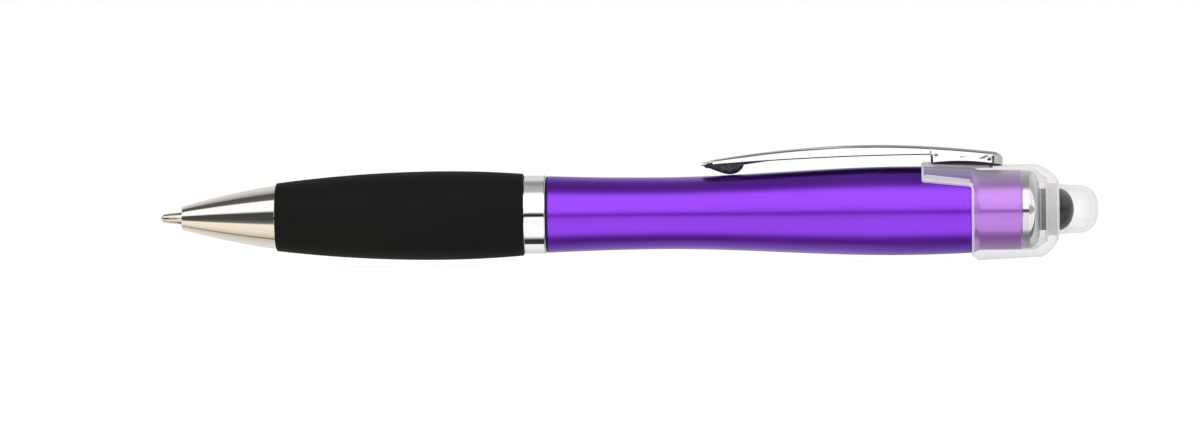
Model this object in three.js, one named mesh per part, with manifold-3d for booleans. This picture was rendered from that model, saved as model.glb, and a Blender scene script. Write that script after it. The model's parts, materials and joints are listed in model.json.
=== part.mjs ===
// A twist-action ballpoint with a light-up stylus end, as the pieces that it comes apart into.
// Millimetres. The pen lies along X with its writing tip towards -X and its clip on top, towards +Z.
// Places along the pen are stations: distances behind the front of the writing ball.

import * as THREE from 'three';
import { mergeVertices } from 'three/addons/utils/BufferGeometryUtils.js';
import Module from 'manifold-3d';

const wasm = await Module();
wasm.setup();

// Lengths of the outer pieces along the pen
const pointReach = 3.18;
const noseLength = 14.38;
const gripLength = 37.54;
const ringLength = 3.4;
const barrelLength = 71.85;
const skirtLength = 7.55;
const tongueLength = 7.5;
const capOverhang = 5.65;
const stylusReach = 5.9;

// Outer radii
const noseFaceRadius = 1.74;
const noseRearRadius = 4.85;
const noseBulge = 0.25;
const gripFrontRadius = 5.15;
const gripBellyRadius = 6.72;
const gripRearRadius = 6.2;
const ringRadius = 5.9;
const barrelFrontRadius = 5.83;
const barrelWaistRadius = 5.44;
const barrelBellyRadius = 6.7;
const barrelShoulderRadius = 6.48;

// Where the outline swells and narrows
const gripBellySetback = 24.94;
const waistSetback = 17.5;
const bellySetback = 53.5;

// Clearances: a fixed fit, a running fit, flat seats, the twist joint and room round a moving lug
const fixedFit = 0.05;
const runningFit = 0.1;
const seatGap = 0.05;
const twistGap = 0.12;
const lugClearance = 0.3;
const springGap = 0.3;
const edgeRound = 0.28;

// Walls
const barrelWall = 0.65;
const spigotWall = 0.6;
const lowerBarrelWall = 0.85;
const guideWall = 1.0;
const batteryTubeWall = 1.25;

// Front bearing of the upper barrel, and the plug-in lengths of the hidden tubes
const bearingLength = 7.5;
const noseSpigotLength = 5.4;
const guidePlugLength = 6;
const spigotBoreStep = 1.2;

// Ink refill: ball, metal point, plastic tube and the two crimped ears that carry the spring
const ballRadius = 0.5;
const ballClearance = 0.05;
const ballShows = 0.3;
const ballRimRadius = 0.49;
const ballRimWall = 0.14;
const pointRadius = 0.93;
const pointTaperLength = 2.5;
const pointNeckLength = 6.8;
const pointBodyRadius = 1.15;
const pointLength = 12.2;
const pointPlugLength = 3.2;
const inkChannelRadius = 0.25;
const refillRadius = 1.5;
const refillWall = 0.42;
const earSetback = 26;
const earLength = 1.2;
const earReach = 2.25;
const earThickness = 0.8;

// Bores of the nose
const tipBoreRadius = 1.1;
const tipBoreLength = 2;
const neckBoreRadius = 1.35;
const neckBoreLength = 5.5;
const springBoreRadius = 2.35;

// Twist mechanism
const twistTravel = 4.8;
const twistAngle = 120;
const guideRadius = 3.9;
const guideTail = 1.6;
const camTail = 2.1;
const camSetback = 15.5;
const lugSetback = 33.5;
const lugRadius = 0.8;
const lugInset = 0.15;
const followerLength = 9;
const followerSocketDepth = 3;
const followerNoseLength = 6;
const lugCount = 2;

// Springs
const returnSpringWire = 0.18;
const returnSpringTurns = 12;
const switchSpringRadius = 3.25;
const switchSpringWire = 0.2;
const switchSpringTurns = 6;
const batterySpringWire = 0.18;
const batterySpringFrontRadius = 3;
const batterySpringRearRadius = 1.5;
const batterySpringTurns = 3;
const batterySpringLength = 1.8;

// Power: three button cells in a plastic tube, with their contacts
const cellRadius = 3.95;
const cellThickness = 3.6;
const cellStepRadius = 3.1;
const cellStepHeight = 0.35;
const cellCount = 3;
const cellGap = 0.06;
const cellFit = 0.15;
const batteryFloor = 1;
const contactThickness = 0.3;
const insulatorThickness = 0.9;
const insulatorHoleRadius = 2.4;
const seatRingHoleRadius = 2.1;
const stripWidth = 2;
const stripDepth = 0.35;
const stripGroove = 0.55;

// Light button: plunger with its lens, its travel, the collar that keeps it and the soft tip over it
const buttonTravel = 1.2;
const plungerRadius = 3.15;
const lensHeight = 2.3;
const flangeInset = 0.15;
const flangeThickness = 1;
const collarInset = 0.15;
const collarRimLength = 0.85;
const collarDomeLength = 1.8;
const collarSpigotLength = 3.9;
const collarSpigotWall = 0.6;
const collarSeatLength = 1.4;
const tipSkirtRadius = 3.75;
const tipWall = 0.5;
const tipDomeRadius = 3.5;
const tipDomeLength = 4.3;
const tipEndWall = 0.9;
const tipSkirtInset = 1.4;
const tipBeadDepth = 0.2;
const tipBeadLength = 0.5;

// Light-emitting diode with its two legs
const ledRadius = 1.5;
const ledLength = 5.3;
const ledFlangeRadius = 1.9;
const ledFlangeLength = 1;
const ledSetback = 0.4;
const ledLegWidth = 0.5;
const ledLegSpread = 1.27;
const ledShortLeg = 1;
const ledLegReach = 2.7;

// Frosted end cap: its rounded shell hangs lower than the barrel, its tongue lies under the clip
const capTopHeight = 6.84;
const capBottomFront = 7.62;
const capBottomRear = 7.16;
const capEndTop = 4.6;
const capEndBottom = 4.4;
const capTopRoundLength = 3.6;
const capBottomRoundLength = 2.2;
const capCornerSharpness = 1.35;
const capEndWall = 1.7;
const capHoleClearance = 0.2;
const capHollowTaper = 1.9;
const capHollowDrawIn = 1.3;
const tongueWall = 0.4;
const tongueFrontEdge = 4.33;
const tongueRearEdge = 3.42;
const tongueFillet = 0.8;
const tongueCorner = 0.45;
const skirtChamfer = 0.5;
const ribHalfWidth = 1.8;
const ribHeight = 7.8;
const lipHeight = 7.36;

// Clip: a bent strip with turned-down sides, closed and rounded at the rear, with a boat-shaped foot
const clipLength = 45.5;
const clipRearOffset = 4.75;
const clipPeakSetback = 19.55;
const clipUnderGap = 1.73;
const clipDepth = 1.57;
const clipTipDrop = 2.3;
const clipRearDrop = 1.36;
const clipRearCurve = 1.8;
const clipUnderDrop = 0.68;
const clipTipHalfWidth = 1.9;
const clipMountHalfWidth = 2.6;
const clipCrown = 0.45;
const clipSheet = 0.5;
const clipTipRound = 2;
const clipRearRound = 1.5;
const clipMountInset = 1.4;
const flangeEdgeFront = 7.05;
const flangeEdgeRear = 6.62;
const flangeArch = 0.35;
const clipSeatGap = 0.2;
const footSetback = 4.75;
const footFrontReach = 4.6;
const footRearReach = 2.8;
const footHalfWidth = 1.5;
const footGap = 0.1;
const footWall = 0.8;

// Facets round the outer pieces, round the hidden ones, round thin ones and round spring wire
const outerFacets = 32;
const innerFacets = 24;
const thinFacets = 16;
const wireSides = 5;
const turnSteps = 8;

// Stations of the outer pieces
const noseFaceAt = pointReach;
const gripFrontAt = noseFaceAt + noseLength;
const gripRearAt = gripFrontAt + gripLength;
const ringRearAt = gripRearAt + ringLength;
const barrelRearAt = ringRearAt + barrelLength;
const skirtFrontAt = barrelRearAt - skirtLength;
const tongueFrontAt = skirtFrontAt - tongueLength;
const capEndAt = barrelRearAt + capOverhang;
const penLength = capEndAt + stylusReach;
const gripBellyAt = gripFrontAt + gripBellySetback;
const waistAt = ringRearAt + waistSetback;
const bellyAt = ringRearAt + bellySetback;

// Radii that follow from the pieces round them
const gripCoreRadius = noseRearRadius;
const lowerBarrelBore = gripCoreRadius - lowerBarrelWall;
const bearingRadius = Math.min(gripCoreRadius, barrelWaistRadius - barrelWall);
const camRadius = barrelWaistRadius - barrelWall - fixedFit;
const camBore = guideRadius + runningFit;
const guideBore = guideRadius - guideWall;
const followerRadius = guideBore - runningFit;
const contactRadius = cellRadius;
const cellBore = cellRadius + cellFit;
const batteryTubeRadius = cellBore + batteryTubeWall;
const spigotBore = batteryTubeRadius + fixedFit;
const barrelSpigotRadius = spigotBore + spigotWall;
const collarRadius = barrelSpigotRadius - collarInset;
const collarSpigotBore = batteryTubeRadius - collarSpigotWall;
const flangeRadius = collarSpigotBore - flangeInset;
const capHollowEndRadius = barrelSpigotRadius - capHollowDrawIn;
const holeRadius = tipSkirtRadius + capHoleClearance;

// Stations of the twist mechanism
const lugAt = ringRearAt + lugSetback;
const slotRearAt = lugAt + twistTravel + lugRadius + lugClearance;
const guideFrontAt = ringRearAt + bearingLength - guidePlugLength;
const guideRearAt = slotRearAt + guideTail;
const camFrontAt = ringRearAt + camSetback;
const camRearAt = slotRearAt + camTail;
const followerFrontAt = lugAt - followerNoseLength;
const refillRearAt = followerFrontAt + followerSocketDepth;

// Stations of the light unit, counted forwards from the barrel's rear end
const collarRearAt = barrelRearAt + seatGap + collarRimLength + collarDomeLength;
const collarFrontAt = barrelRearAt - collarSpigotLength;
const flangeRearAt = barrelRearAt - collarSeatLength - seatGap;
const flangeFrontAt = flangeRearAt - flangeThickness;
const lensBaseAt = capEndAt - seatGap;
const batteryRearAt = collarFrontAt - seatGap;
const tipSkirtAt = capEndAt - tipSkirtInset;
const domeBaseAt = penLength - tipDomeLength;

// The cell stack ends where the switch spring's seat leaves room for the button's leg
const seatRingRearAt = batteryRearAt - ledLegReach - buttonTravel;
const insulatorRearAt = seatRingRearAt - contactThickness - seatGap;
const plateRearAt = insulatorRearAt - insulatorThickness - seatGap;
const cellPitch = cellThickness + cellGap;
const stackRearAt = plateRearAt - contactThickness - seatGap;
const stackFrontAt = stackRearAt - cellCount * cellPitch;
const frontContactAt = stackFrontAt - batterySpringLength - contactThickness;
const batteryFrontAt = frontContactAt - seatGap - batteryFloor;

// Clip stations
const clipRearAt = skirtFrontAt + clipRearOffset;
const clipTipAt = clipRearAt - clipLength;
const clipPeakAt = clipRearAt - clipPeakSetback;
const clipMountAt = tongueFrontAt + clipMountInset;
const footAt = clipTipAt + footSetback;
const clipUnderHeight = barrelBellyRadius + clipUnderGap;
const clipPeakHeight = clipUnderHeight + clipDepth;

const degrees = Math.PI / 180;
const mix = (a, b, t) => a + (b - a) * t;
const smooth = (t) => t * t * (3 - 2 * t);

// Stations from one place to another in equal steps, both ends included
function steps(from, to, count) {
  return Array.from({ length: count + 1 }, (_, i) => mix(from, to, i / count));
}

// One closed, outward-facing surface with shared corners and no empty triangles
function tidy(geometry) {
  const bare = geometry.clone();
  bare.deleteAttribute('normal');
  bare.deleteAttribute('uv');
  const merged = mergeVertices(bare, 1e-4);
  const source = merged.index.array;
  const kept = [];
  for (let i = 0; i < source.length; i += 3) {
    const [a, b, c] = [source[i], source[i + 1], source[i + 2]];
    if (a !== b && b !== c && c !== a) kept.push(a, b, c);
  }
  if (signedVolume(merged.attributes.position, kept) < 0) kept.reverse();
  merged.setIndex(kept);
  return merged;
}

function signedVolume(position, index) {
  const [a, b, c] = [new THREE.Vector3(), new THREE.Vector3(), new THREE.Vector3()];
  let sum = 0;
  for (let i = 0; i < index.length; i += 3) {
    a.fromBufferAttribute(position, index[i]);
    b.fromBufferAttribute(position, index[i + 1]);
    c.fromBufferAttribute(position, index[i + 2]);
    sum += a.dot(b.cross(c));
  }
  return sum / 6;
}

function toSolid(geometry) {
  const clean = tidy(geometry);
  return new wasm.Manifold(new wasm.Mesh({
    numProp: 3,
    vertProperties: new Float32Array(clean.attributes.position.array),
    triVerts: new Uint32Array(clean.index.array),
  }));
}

function toGeometry(solid) {
  const mesh = solid.getMesh();
  const geometry = new THREE.BufferGeometry();
  geometry.setAttribute('position', new THREE.BufferAttribute(new Float32Array(mesh.vertProperties), 3));
  geometry.setIndex(Array.from(mesh.triVerts));
  return geometry;
}

function join(first, ...rest) {
  return toGeometry(rest.reduce((sum, geometry) => sum.add(toSolid(geometry)), toSolid(first)));
}

function cut(first, ...rest) {
  return toGeometry(rest.reduce((left, geometry) => left.subtract(toSolid(geometry)), toSolid(first)));
}

function common(first, second) {
  return toGeometry(toSolid(first).intersect(toSolid(second)));
}

// A profile of [station, radius] pairs turned round the pen's axis. It closes on itself,
// unless it starts and ends on the axis.
function revolve(profile, facets) {
  const points = profile.map(([station, radius]) => new THREE.Vector2(radius, station));
  const onAxis = profile[0][1] === 0 && profile.at(-1)[1] === 0;
  if (!onAxis) points.push(points[0].clone());
  return tidy(new THREE.LatheGeometry(points, facets).rotateZ(-Math.PI / 2));
}

// A tube between two stations, or a rod where the bore is 0
function sleeve(from, to, radius, bore, facets) {
  const outer = [[from, radius], [to, radius]];
  const inner = [[to, bore], [from, bore]];
  return bore ? revolve([...outer, ...inner], facets) : revolve([[from, 0], ...outer, [to, 0]], facets);
}

function block(from, to, halfWidth, low, high) {
  const box = new THREE.BoxGeometry(to - from, 2 * halfWidth, high - low);
  return box.translate((from + to) / 2, 0, (low + high) / 2);
}

// Rings of equally many points, skinned one to the next, with a flat fan over each end
function loft(rings) {
  const count = rings[0].length;
  const corners = rings.flat().flatMap((p) => [p.x, p.y, p.z]);
  const index = [];
  for (let ring = 0; ring < rings.length - 1; ring += 1) {
    for (let i = 0; i < count; i += 1) {
      const a = ring * count + i;
      const b = ring * count + ((i + 1) % count);
      index.push(a, b, a + count, b, b + count, a + count);
    }
  }
  const last = (rings.length - 1) * count;
  for (let i = 1; i < count - 1; i += 1) {
    index.push(0, i + 1, i, last, last + i, last + i + 1);
  }
  const geometry = new THREE.BufferGeometry();
  geometry.setAttribute('position', new THREE.Float32BufferAttribute(corners, 3));
  geometry.setIndex(index);
  return tidy(geometry);
}

// A circle across the pen that reaches from one height below the axis to one above it
function hoop(station, top, bottom, facets) {
  const radius = (top + bottom) / 2;
  const centre = (top - bottom) / 2;
  return steps(0, 2 * Math.PI, facets).slice(0, -1).map(
    (angle) => new THREE.Vector3(station, -radius * Math.sin(angle), centre + radius * Math.cos(angle)),
  );
}

// A coil of round wire along the axis, from one radius to another, with flat wire ends
function coil(from, to, startRadius, endRadius, wire, turns) {
  const pitch = (to - from) / turns;
  const lean = Math.atan2(pitch, 2 * Math.PI * startRadius);
  const rings = steps(0, 1, turns * turnSteps).map((t) => {
    const angle = 2 * Math.PI * turns * t;
    const radius = mix(startRadius, endRadius, t);
    const outward = new THREE.Vector3(0, Math.cos(angle), Math.sin(angle));
    const along = new THREE.Vector3(Math.sin(lean), 0, 0).addScaledVector(
      new THREE.Vector3(0, -Math.sin(angle), Math.cos(angle)), Math.cos(lean));
    const side = new THREE.Vector3().crossVectors(along, outward);
    const centre = new THREE.Vector3(mix(from, to, t), 0, 0).addScaledVector(outward, radius);
    return steps(0, 2 * Math.PI, wireSides).slice(0, -1).map((turn) => centre.clone()
      .addScaledVector(outward, wire * Math.cos(turn))
      .addScaledVector(side, wire * Math.sin(turn)));
  });
  return loft(rings);
}

// Outline of the nose: a slightly swollen cone
function noseRadius(station) {
  const t = (station - noseFaceAt) / noseLength;
  return mix(noseFaceRadius, noseRearRadius, t) + noseBulge * 4 * t * (1 - t);
}

// Outline of the grip: two parabolas that meet at its belly
function gripRadius(station) {
  const ahead = station < gripBellyAt;
  const end = ahead ? gripFrontRadius : gripRearRadius;
  const reach = ahead ? gripBellyAt - gripFrontAt : gripRearAt - gripBellyAt;
  return gripBellyRadius - (gripBellyRadius - end) * ((station - gripBellyAt) / reach) ** 2;
}

// Outline of the barrel: down to the waist, a long swell to the belly, and down to the cap's skirt
function barrelRadius(station) {
  if (station < waistAt) {
    const t = (waistAt - station) / waistSetback;
    return barrelWaistRadius + (barrelFrontRadius - barrelWaistRadius) * t * t;
  }
  if (station < bellyAt) {
    return mix(barrelWaistRadius, barrelBellyRadius, smooth((station - waistAt) / (bellyAt - waistAt)));
  }
  const t = (station - bellyAt) / (skirtFrontAt - bellyAt);
  return barrelBellyRadius - (barrelBellyRadius - barrelShoulderRadius) * t * t;
}

function noseCone() {
  const neckBoreAt = noseFaceAt + tipBoreLength + (neckBoreRadius - tipBoreRadius);
  const springSeatAt = noseFaceAt + neckBoreLength;
  const spigotRearAt = gripFrontAt + noseSpigotLength;
  const spigotRadius = lowerBarrelBore - fixedFit;
  return revolve([
    [noseFaceAt, tipBoreRadius],
    ...steps(noseFaceAt, gripFrontAt, 6).map((s) => [s, noseRadius(s)]),
    [gripFrontAt, spigotRadius],
    [spigotRearAt, spigotRadius],
    [spigotRearAt, springBoreRadius],
    [springSeatAt, springBoreRadius],
    [springSeatAt, neckBoreRadius],
    [neckBoreAt, neckBoreRadius],
    [noseFaceAt + tipBoreLength, tipBoreRadius],
  ], outerFacets);
}

function gripSleeve() {
  const from = gripFrontAt + seatGap;
  const bore = gripCoreRadius + fixedFit;
  return revolve([
    [from, bore],
    [from, gripRadius(from) - edgeRound],
    ...steps(from + edgeRound, gripRearAt - edgeRound, 11).map((s) => [s, gripRadius(s)]),
    [gripRearAt, gripRearRadius - edgeRound],
    [gripRearAt, bore],
  ], outerFacets);
}

// The grip's core tube, whose thinner rear end is the bearing that the upper barrel turns on
function lowerBarrel() {
  const rearAt = ringRearAt + bearingLength;
  const radius = bearingRadius - runningFit;
  return revolve([
    [gripFrontAt + seatGap, lowerBarrelBore],
    [gripFrontAt + seatGap, gripCoreRadius],
    [ringRearAt, gripCoreRadius],
    [ringRearAt, radius],
    [rearAt, radius],
    [rearAt, lowerBarrelBore],
  ], outerFacets);
}

function centreRing() {
  const from = gripRearAt + seatGap;
  const bore = gripCoreRadius + fixedFit;
  const chamfer = edgeRound / 2;
  return revolve([
    [from, bore],
    [from, ringRadius - chamfer],
    [from + chamfer, ringRadius],
    [ringRearAt - chamfer, ringRadius],
    [ringRearAt, ringRadius - chamfer],
    [ringRearAt, bore],
  ], outerFacets);
}

function upperBarrel() {
  const frontAt = ringRearAt + twistGap;
  const boreStepAt = skirtFrontAt - spigotBoreStep;
  const outer = [
    ...steps(frontAt, waistAt, 3),
    ...steps(waistAt, bellyAt, 8).slice(1),
    ...steps(bellyAt, skirtFrontAt, 2).slice(1),
  ];
  const inner = [...steps(boreStepAt - spigotBoreStep, waistAt, 6), ...steps(waistAt, frontAt, 2).slice(1)];
  return revolve([
    ...outer.map((s) => [s, barrelRadius(s)]),
    [skirtFrontAt, barrelSpigotRadius],
    [barrelRearAt - edgeRound, barrelSpigotRadius],
    [barrelRearAt, barrelSpigotRadius - edgeRound],
    [barrelRearAt, spigotBore],
    [boreStepAt, spigotBore],
    ...inner.map((s) => [s, barrelRadius(s) - barrelWall]),
  ], outerFacets);
}

function writingBall() {
  const ball = new THREE.SphereGeometry(ballRadius, 12, 8);
  return tidy(ball.rotateZ(-Math.PI / 2).translate(ballRadius, 0, 0));
}

// Metal point with the ball's socket, an ink channel and the plug that the plastic tube fits over
function refillPoint() {
  const socket = ballRadius + ballClearance;
  const rimAngle = Math.acos((ballRadius - ballShows) / socket);
  const backAngle = Math.PI - Math.asin(inkChannelRadius / socket);
  const socketWall = steps(rimAngle, backAngle, 6).slice(1).map(
    (angle) => [ballRadius - socket * Math.cos(angle), socket * Math.sin(angle)],
  );
  const plugRadius = refillRadius - refillWall - fixedFit;
  return revolve([
    [ballShows, ballRimRadius],
    ...socketWall,
    [pointLength + pointPlugLength, inkChannelRadius],
    [pointLength + pointPlugLength, plugRadius],
    [pointLength, plugRadius],
    [pointLength, refillRadius],
    [pointLength - refillRadius, refillRadius],
    [pointLength - refillRadius, pointBodyRadius],
    [pointNeckLength, pointBodyRadius],
    [pointNeckLength, pointRadius],
    [pointTaperLength, pointRadius],
    [ballShows, ballRimRadius + ballRimWall],
  ], thinFacets);
}

function refillTube() {
  const bore = refillRadius - refillWall;
  const from = pointLength + seatGap;
  const tube = sleeve(from, refillRearAt, refillRadius, 0, thinFacets);
  const ears = block(earSetback, earSetback + earLength, earThickness / 2, -earReach, earReach);
  const ink = sleeve(from - 1, refillRearAt + 1, bore, 0, thinFacets);
  return cut(join(tube, ears), ink);
}

// Pushes the refill: a plug with a socket for its rear end and one round lug on each side
function camFollower() {
  const rearAt = followerFrontAt + followerLength;
  const body = revolve([
    [refillRearAt + seatGap, 0],
    [refillRearAt + seatGap, refillRadius + runningFit],
    [followerFrontAt, refillRadius + runningFit],
    [followerFrontAt, followerRadius],
    [rearAt - edgeRound, followerRadius],
    [rearAt, followerRadius - edgeRound],
    [rearAt, 0],
  ], innerFacets);
  const span = 2 * (camRadius - lugInset);
  const lugs = new THREE.CylinderGeometry(lugRadius, lugRadius, span, 12).translate(lugAt, 0, 0);
  return join(body, cut(lugs, sleeve(lugAt - 2 * lugRadius, lugAt + 2 * lugRadius, 1, 0, 8)));
}

// Tube with two straight slots that let the lugs slide but not turn
function twistGuide() {
  const room = lugRadius + lugClearance;
  const tube = sleeve(guideFrontAt, guideRearAt, guideRadius, guideBore, innerFacets);
  const slots = new THREE.BoxGeometry(twistTravel + 2 * room, 4 * guideRadius, 2 * room);
  return cut(tube, slots.translate(lugAt + twistTravel / 2, 0, 0));
}

// Sleeve with two helical slots that drive the lugs along the pen as the barrel is twisted
function twistCam() {
  const tube = sleeve(camFrontAt, camRearAt, camRadius, camBore, innerFacets);
  const cutters = steps(0, 360, lugCount).slice(0, -1).map((turn) => helicalSlot(90 + turn));
  return cut(tube, ...cutters);
}

// The room that one lug sweeps, in the cam's frame: it starts at a clock angle, and as the lug
// goes back the slot winds against the clock, so that the barrel turned clockwise puts the point out
function helicalSlot(startAngle) {
  const room = lugRadius + lugClearance;
  const arcRadius = (camRadius + camBore) / 2;
  const slope = Math.atan2(twistTravel, twistAngle * degrees * arcRadius);
  const halfHeight = room / Math.cos(slope);
  const overrun = room / arcRadius / (twistAngle * degrees);
  const rings = steps(-overrun, 1 + overrun, 18).map((t) => {
    const station = lugAt + twistTravel * t;
    const angle = (startAngle - twistAngle * t) * degrees;
    const outward = new THREE.Vector3(0, -Math.sin(angle), Math.cos(angle));
    const corner = (x, radius) => new THREE.Vector3(x, 0, 0).addScaledVector(outward, radius);
    const inside = guideRadius - 1;
    const outside = camRadius + 1;
    return [
      corner(station - halfHeight, inside),
      corner(station - halfHeight, outside),
      corner(station + halfHeight, outside),
      corner(station + halfHeight, inside),
    ];
  });
  return loft(rings);
}

function returnSpring() {
  const wire = returnSpringWire;
  const radius = (refillRadius + springBoreRadius) / 2;
  const from = noseFaceAt + neckBoreLength + springGap + wire;
  return coil(from, earSetback - springGap - wire, radius, radius, wire, returnSpringTurns);
}

// Plastic tube for the cells, closed at the front, with a groove along its bore for the contact strip
function batteryTube() {
  const tube = revolve([
    [batteryFrontAt, 0],
    [batteryFrontAt, batteryTubeRadius - edgeRound],
    [batteryFrontAt + edgeRound, batteryTubeRadius],
    [batteryRearAt, batteryTubeRadius],
    [batteryRearAt, cellBore],
    [frontContactAt - seatGap, cellBore],
    [frontContactAt - seatGap, 0],
  ], innerFacets);
  const groove = block(frontContactAt - seatGap, batteryRearAt + 1,
    stripWidth / 2 + fixedFit, -cellBore - stripGroove, 0);
  return cut(tube, groove);
}

// A button cell: a can with the smaller lid of its other pole at the front
function buttonCell(number) {
  const rearAt = stackRearAt - number * cellPitch - cellGap / 2;
  const frontAt = rearAt - cellThickness;
  return revolve([
    [frontAt, 0],
    [frontAt, cellStepRadius],
    [frontAt + cellStepHeight, cellStepRadius],
    [frontAt + cellStepHeight, cellRadius - edgeRound],
    [frontAt + cellStepHeight + edgeRound, cellRadius],
    [rearAt - edgeRound, cellRadius],
    [rearAt, cellRadius - edgeRound],
    [rearAt, 0],
  ], innerFacets);
}

function contactPlate() {
  return sleeve(plateRearAt - contactThickness, plateRearAt, contactRadius, 0, innerFacets);
}

function insulatorRing() {
  const from = insulatorRearAt - insulatorThickness;
  return sleeve(from, insulatorRearAt, contactRadius, insulatorHoleRadius, innerFacets);
}

// One stamping: the front contact disc, the strip along the groove and the switch spring's seat ring
function contactStrip() {
  const disc = sleeve(frontContactAt, frontContactAt + contactThickness, contactRadius, 0, innerFacets);
  const ring = sleeve(seatRingRearAt - contactThickness, seatRingRearAt, contactRadius, seatRingHoleRadius,
    innerFacets);
  const low = -cellBore - stripDepth;
  const strip = block(frontContactAt, seatRingRearAt, stripWidth / 2, low, low + contactThickness);
  const foot = (from) => block(from, from + contactThickness, stripWidth / 2, low, -contactRadius + 1);
  return join(disc, ring, strip, foot(frontContactAt), foot(seatRingRearAt - contactThickness));
}

function batterySpring() {
  const from = frontContactAt + contactThickness + seatGap + batterySpringWire;
  const to = stackFrontAt - batterySpringWire;
  return coil(from, to, batterySpringFrontRadius, batterySpringRearRadius, batterySpringWire,
    batterySpringTurns);
}

function switchSpring() {
  const from = seatRingRearAt + springGap + switchSpringWire;
  const to = flangeFrontAt - springGap - switchSpringWire;
  return coil(from, to, switchSpringRadius, switchSpringRadius, switchSpringWire, switchSpringTurns);
}

// Points of a quarter ellipse that falls from one radius to another over a length behind a station
function fallingRound(station, length, fromRadius, toRadius, count) {
  return steps(0, Math.PI / 2, count).slice(1).map((angle) => [
    station + length * Math.sin(angle),
    toRadius + (fromRadius - toRadius) * Math.sin(Math.PI / 2 - angle),
  ]);
}

// Bright shoulder behind the barrel. Its spigot plugs into the barrel and its bore keeps the button
function lightCollar() {
  const rimAt = barrelRearAt + seatGap;
  const domeAt = rimAt + collarRimLength;
  const bore = plungerRadius + runningFit;
  const shoulderAt = barrelRearAt - collarSeatLength;
  return revolve([
    [collarFrontAt, collarSpigotBore],
    [collarFrontAt, batteryTubeRadius],
    [rimAt, batteryTubeRadius],
    [rimAt, collarRadius],
    [domeAt, collarRadius],
    ...fallingRound(domeAt, collarDomeLength, collarRadius, bore + edgeRound, 5),
    [collarRearAt, bore],
    [shoulderAt, bore],
    [shoulderAt, collarSpigotBore],
  ], innerFacets);
}

// Smoked clear button: a flange under the collar, a neck through it and a domed lens at the end
function lensPlunger() {
  const ledBaseAt = flangeFrontAt + ledSetback;
  const ledEndAt = ledBaseAt + ledLength;
  const grooveAt = tipSkirtAt + tipBeadLength;
  const grooveRadius = plungerRadius - tipBeadDepth;
  return revolve([
    [ledEndAt + runningFit, 0],
    [ledEndAt + runningFit, ledRadius + runningFit],
    [ledBaseAt + ledFlangeLength + runningFit, ledRadius + runningFit],
    [ledBaseAt + ledFlangeLength + runningFit, ledFlangeRadius + runningFit],
    [flangeFrontAt, ledFlangeRadius + runningFit],
    [flangeFrontAt, flangeRadius],
    [flangeRearAt, flangeRadius],
    [flangeRearAt, plungerRadius],
    [grooveAt - runningFit, plungerRadius],
    [grooveAt - runningFit, grooveRadius],
    [grooveAt + tipBeadLength + runningFit, grooveRadius],
    [grooveAt + tipBeadLength + runningFit, plungerRadius],
    [lensBaseAt, plungerRadius],
    ...fallingRound(lensBaseAt, lensHeight, plungerRadius, 0, 5),
  ], innerFacets);
}

function lightEmittingDiode() {
  const baseAt = flangeFrontAt + ledSetback;
  const domeAt = baseAt + ledLength - ledRadius;
  const body = revolve([
    [baseAt, 0],
    [baseAt, ledFlangeRadius],
    [baseAt + ledFlangeLength, ledFlangeRadius],
    [baseAt + ledFlangeLength, ledRadius],
    [domeAt, ledRadius],
    ...fallingRound(domeAt, ledRadius, ledRadius, 0, 4),
  ], thinFacets);
  const half = ledLegWidth / 2;
  const switchLegAt = plateRearAt + buttonTravel + seatGap;
  const switchLeg = block(switchLegAt, baseAt + half, half, ledLegSpread - half, ledLegSpread + half);
  const bendAt = baseAt - ledShortLeg;
  const springLeg = block(bendAt, baseAt + half, half, -ledLegSpread - half, -ledLegSpread + half);
  const reach = switchSpringRadius - switchSpringWire - runningFit;
  const bend = block(bendAt, bendAt + ledLegWidth, half, -reach, -ledLegSpread);
  return join(body, switchLeg, springLeg, bend);
}

// Hollow silicone stylus tip, held on the plunger's neck by a bead in its groove
function stylusTip() {
  const bore = plungerRadius + runningFit;
  const beadAt = tipSkirtAt + tipBeadLength;
  const beadRadius = plungerRadius - tipBeadDepth + runningFit;
  const outside = [
    [tipSkirtAt, tipSkirtRadius],
    [capEndAt + runningFit, tipSkirtRadius],
    [domeBaseAt, tipDomeRadius],
    ...fallingRound(domeBaseAt, tipDomeLength, tipDomeRadius, 0, 6),
  ];
  const hollow = fallingRound(domeBaseAt, tipDomeLength - tipEndWall, tipDomeRadius - tipWall, 0, 6);
  const inside = [
    ...hollow.reverse(),
    [domeBaseAt, tipDomeRadius - tipWall],
    [lensBaseAt + runningFit, bore],
    [beadAt + tipBeadLength, bore],
    [beadAt + tipBeadLength, beadRadius],
    [beadAt, beadRadius],
    [beadAt, bore],
    [tipSkirtAt, bore],
  ];
  return revolve([...inside, ...outside], innerFacets);
}

// How far a rounded cap corner has fallen, from 0 where it starts to 1 at the end face
function cornerFall(station, length) {
  const t = Math.max(0, (station - (capEndAt - length)) / length);
  return 1 - (1 - Math.min(1, t) ** capCornerSharpness) ** (1 / capCornerSharpness);
}

// Outer height of the cap above the axis and below it
function capTop(station) {
  return mix(capTopHeight, capEndTop, cornerFall(station, capTopRoundLength));
}

function capBottom(station) {
  const straightLength = capOverhang + skirtLength - capBottomRoundLength;
  const drawn = mix(capBottomFront, capBottomRear, Math.min(1, (station - skirtFrontAt) / straightLength));
  return mix(drawn, capEndBottom, cornerFall(station, capBottomRoundLength));
}

// The cap's shell behind the skirt's front edge, grown by a gap where a neighbour is cut to it
function capShell(gap) {
  const straight = [skirtFrontAt, ...steps(skirtFrontAt + skirtChamfer, capEndAt - capTopRoundLength, 2)];
  const stations = [...straight, ...steps(capEndAt - capTopRoundLength, capEndAt, 8).slice(1)];
  return loft(stations.map((s) => {
    const chamfer = Math.max(0, skirtFrontAt + skirtChamfer - s);
    return hoop(s, capTop(s) + gap, capBottom(s) - chamfer + gap, outerFacets);
  }));
}

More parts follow.
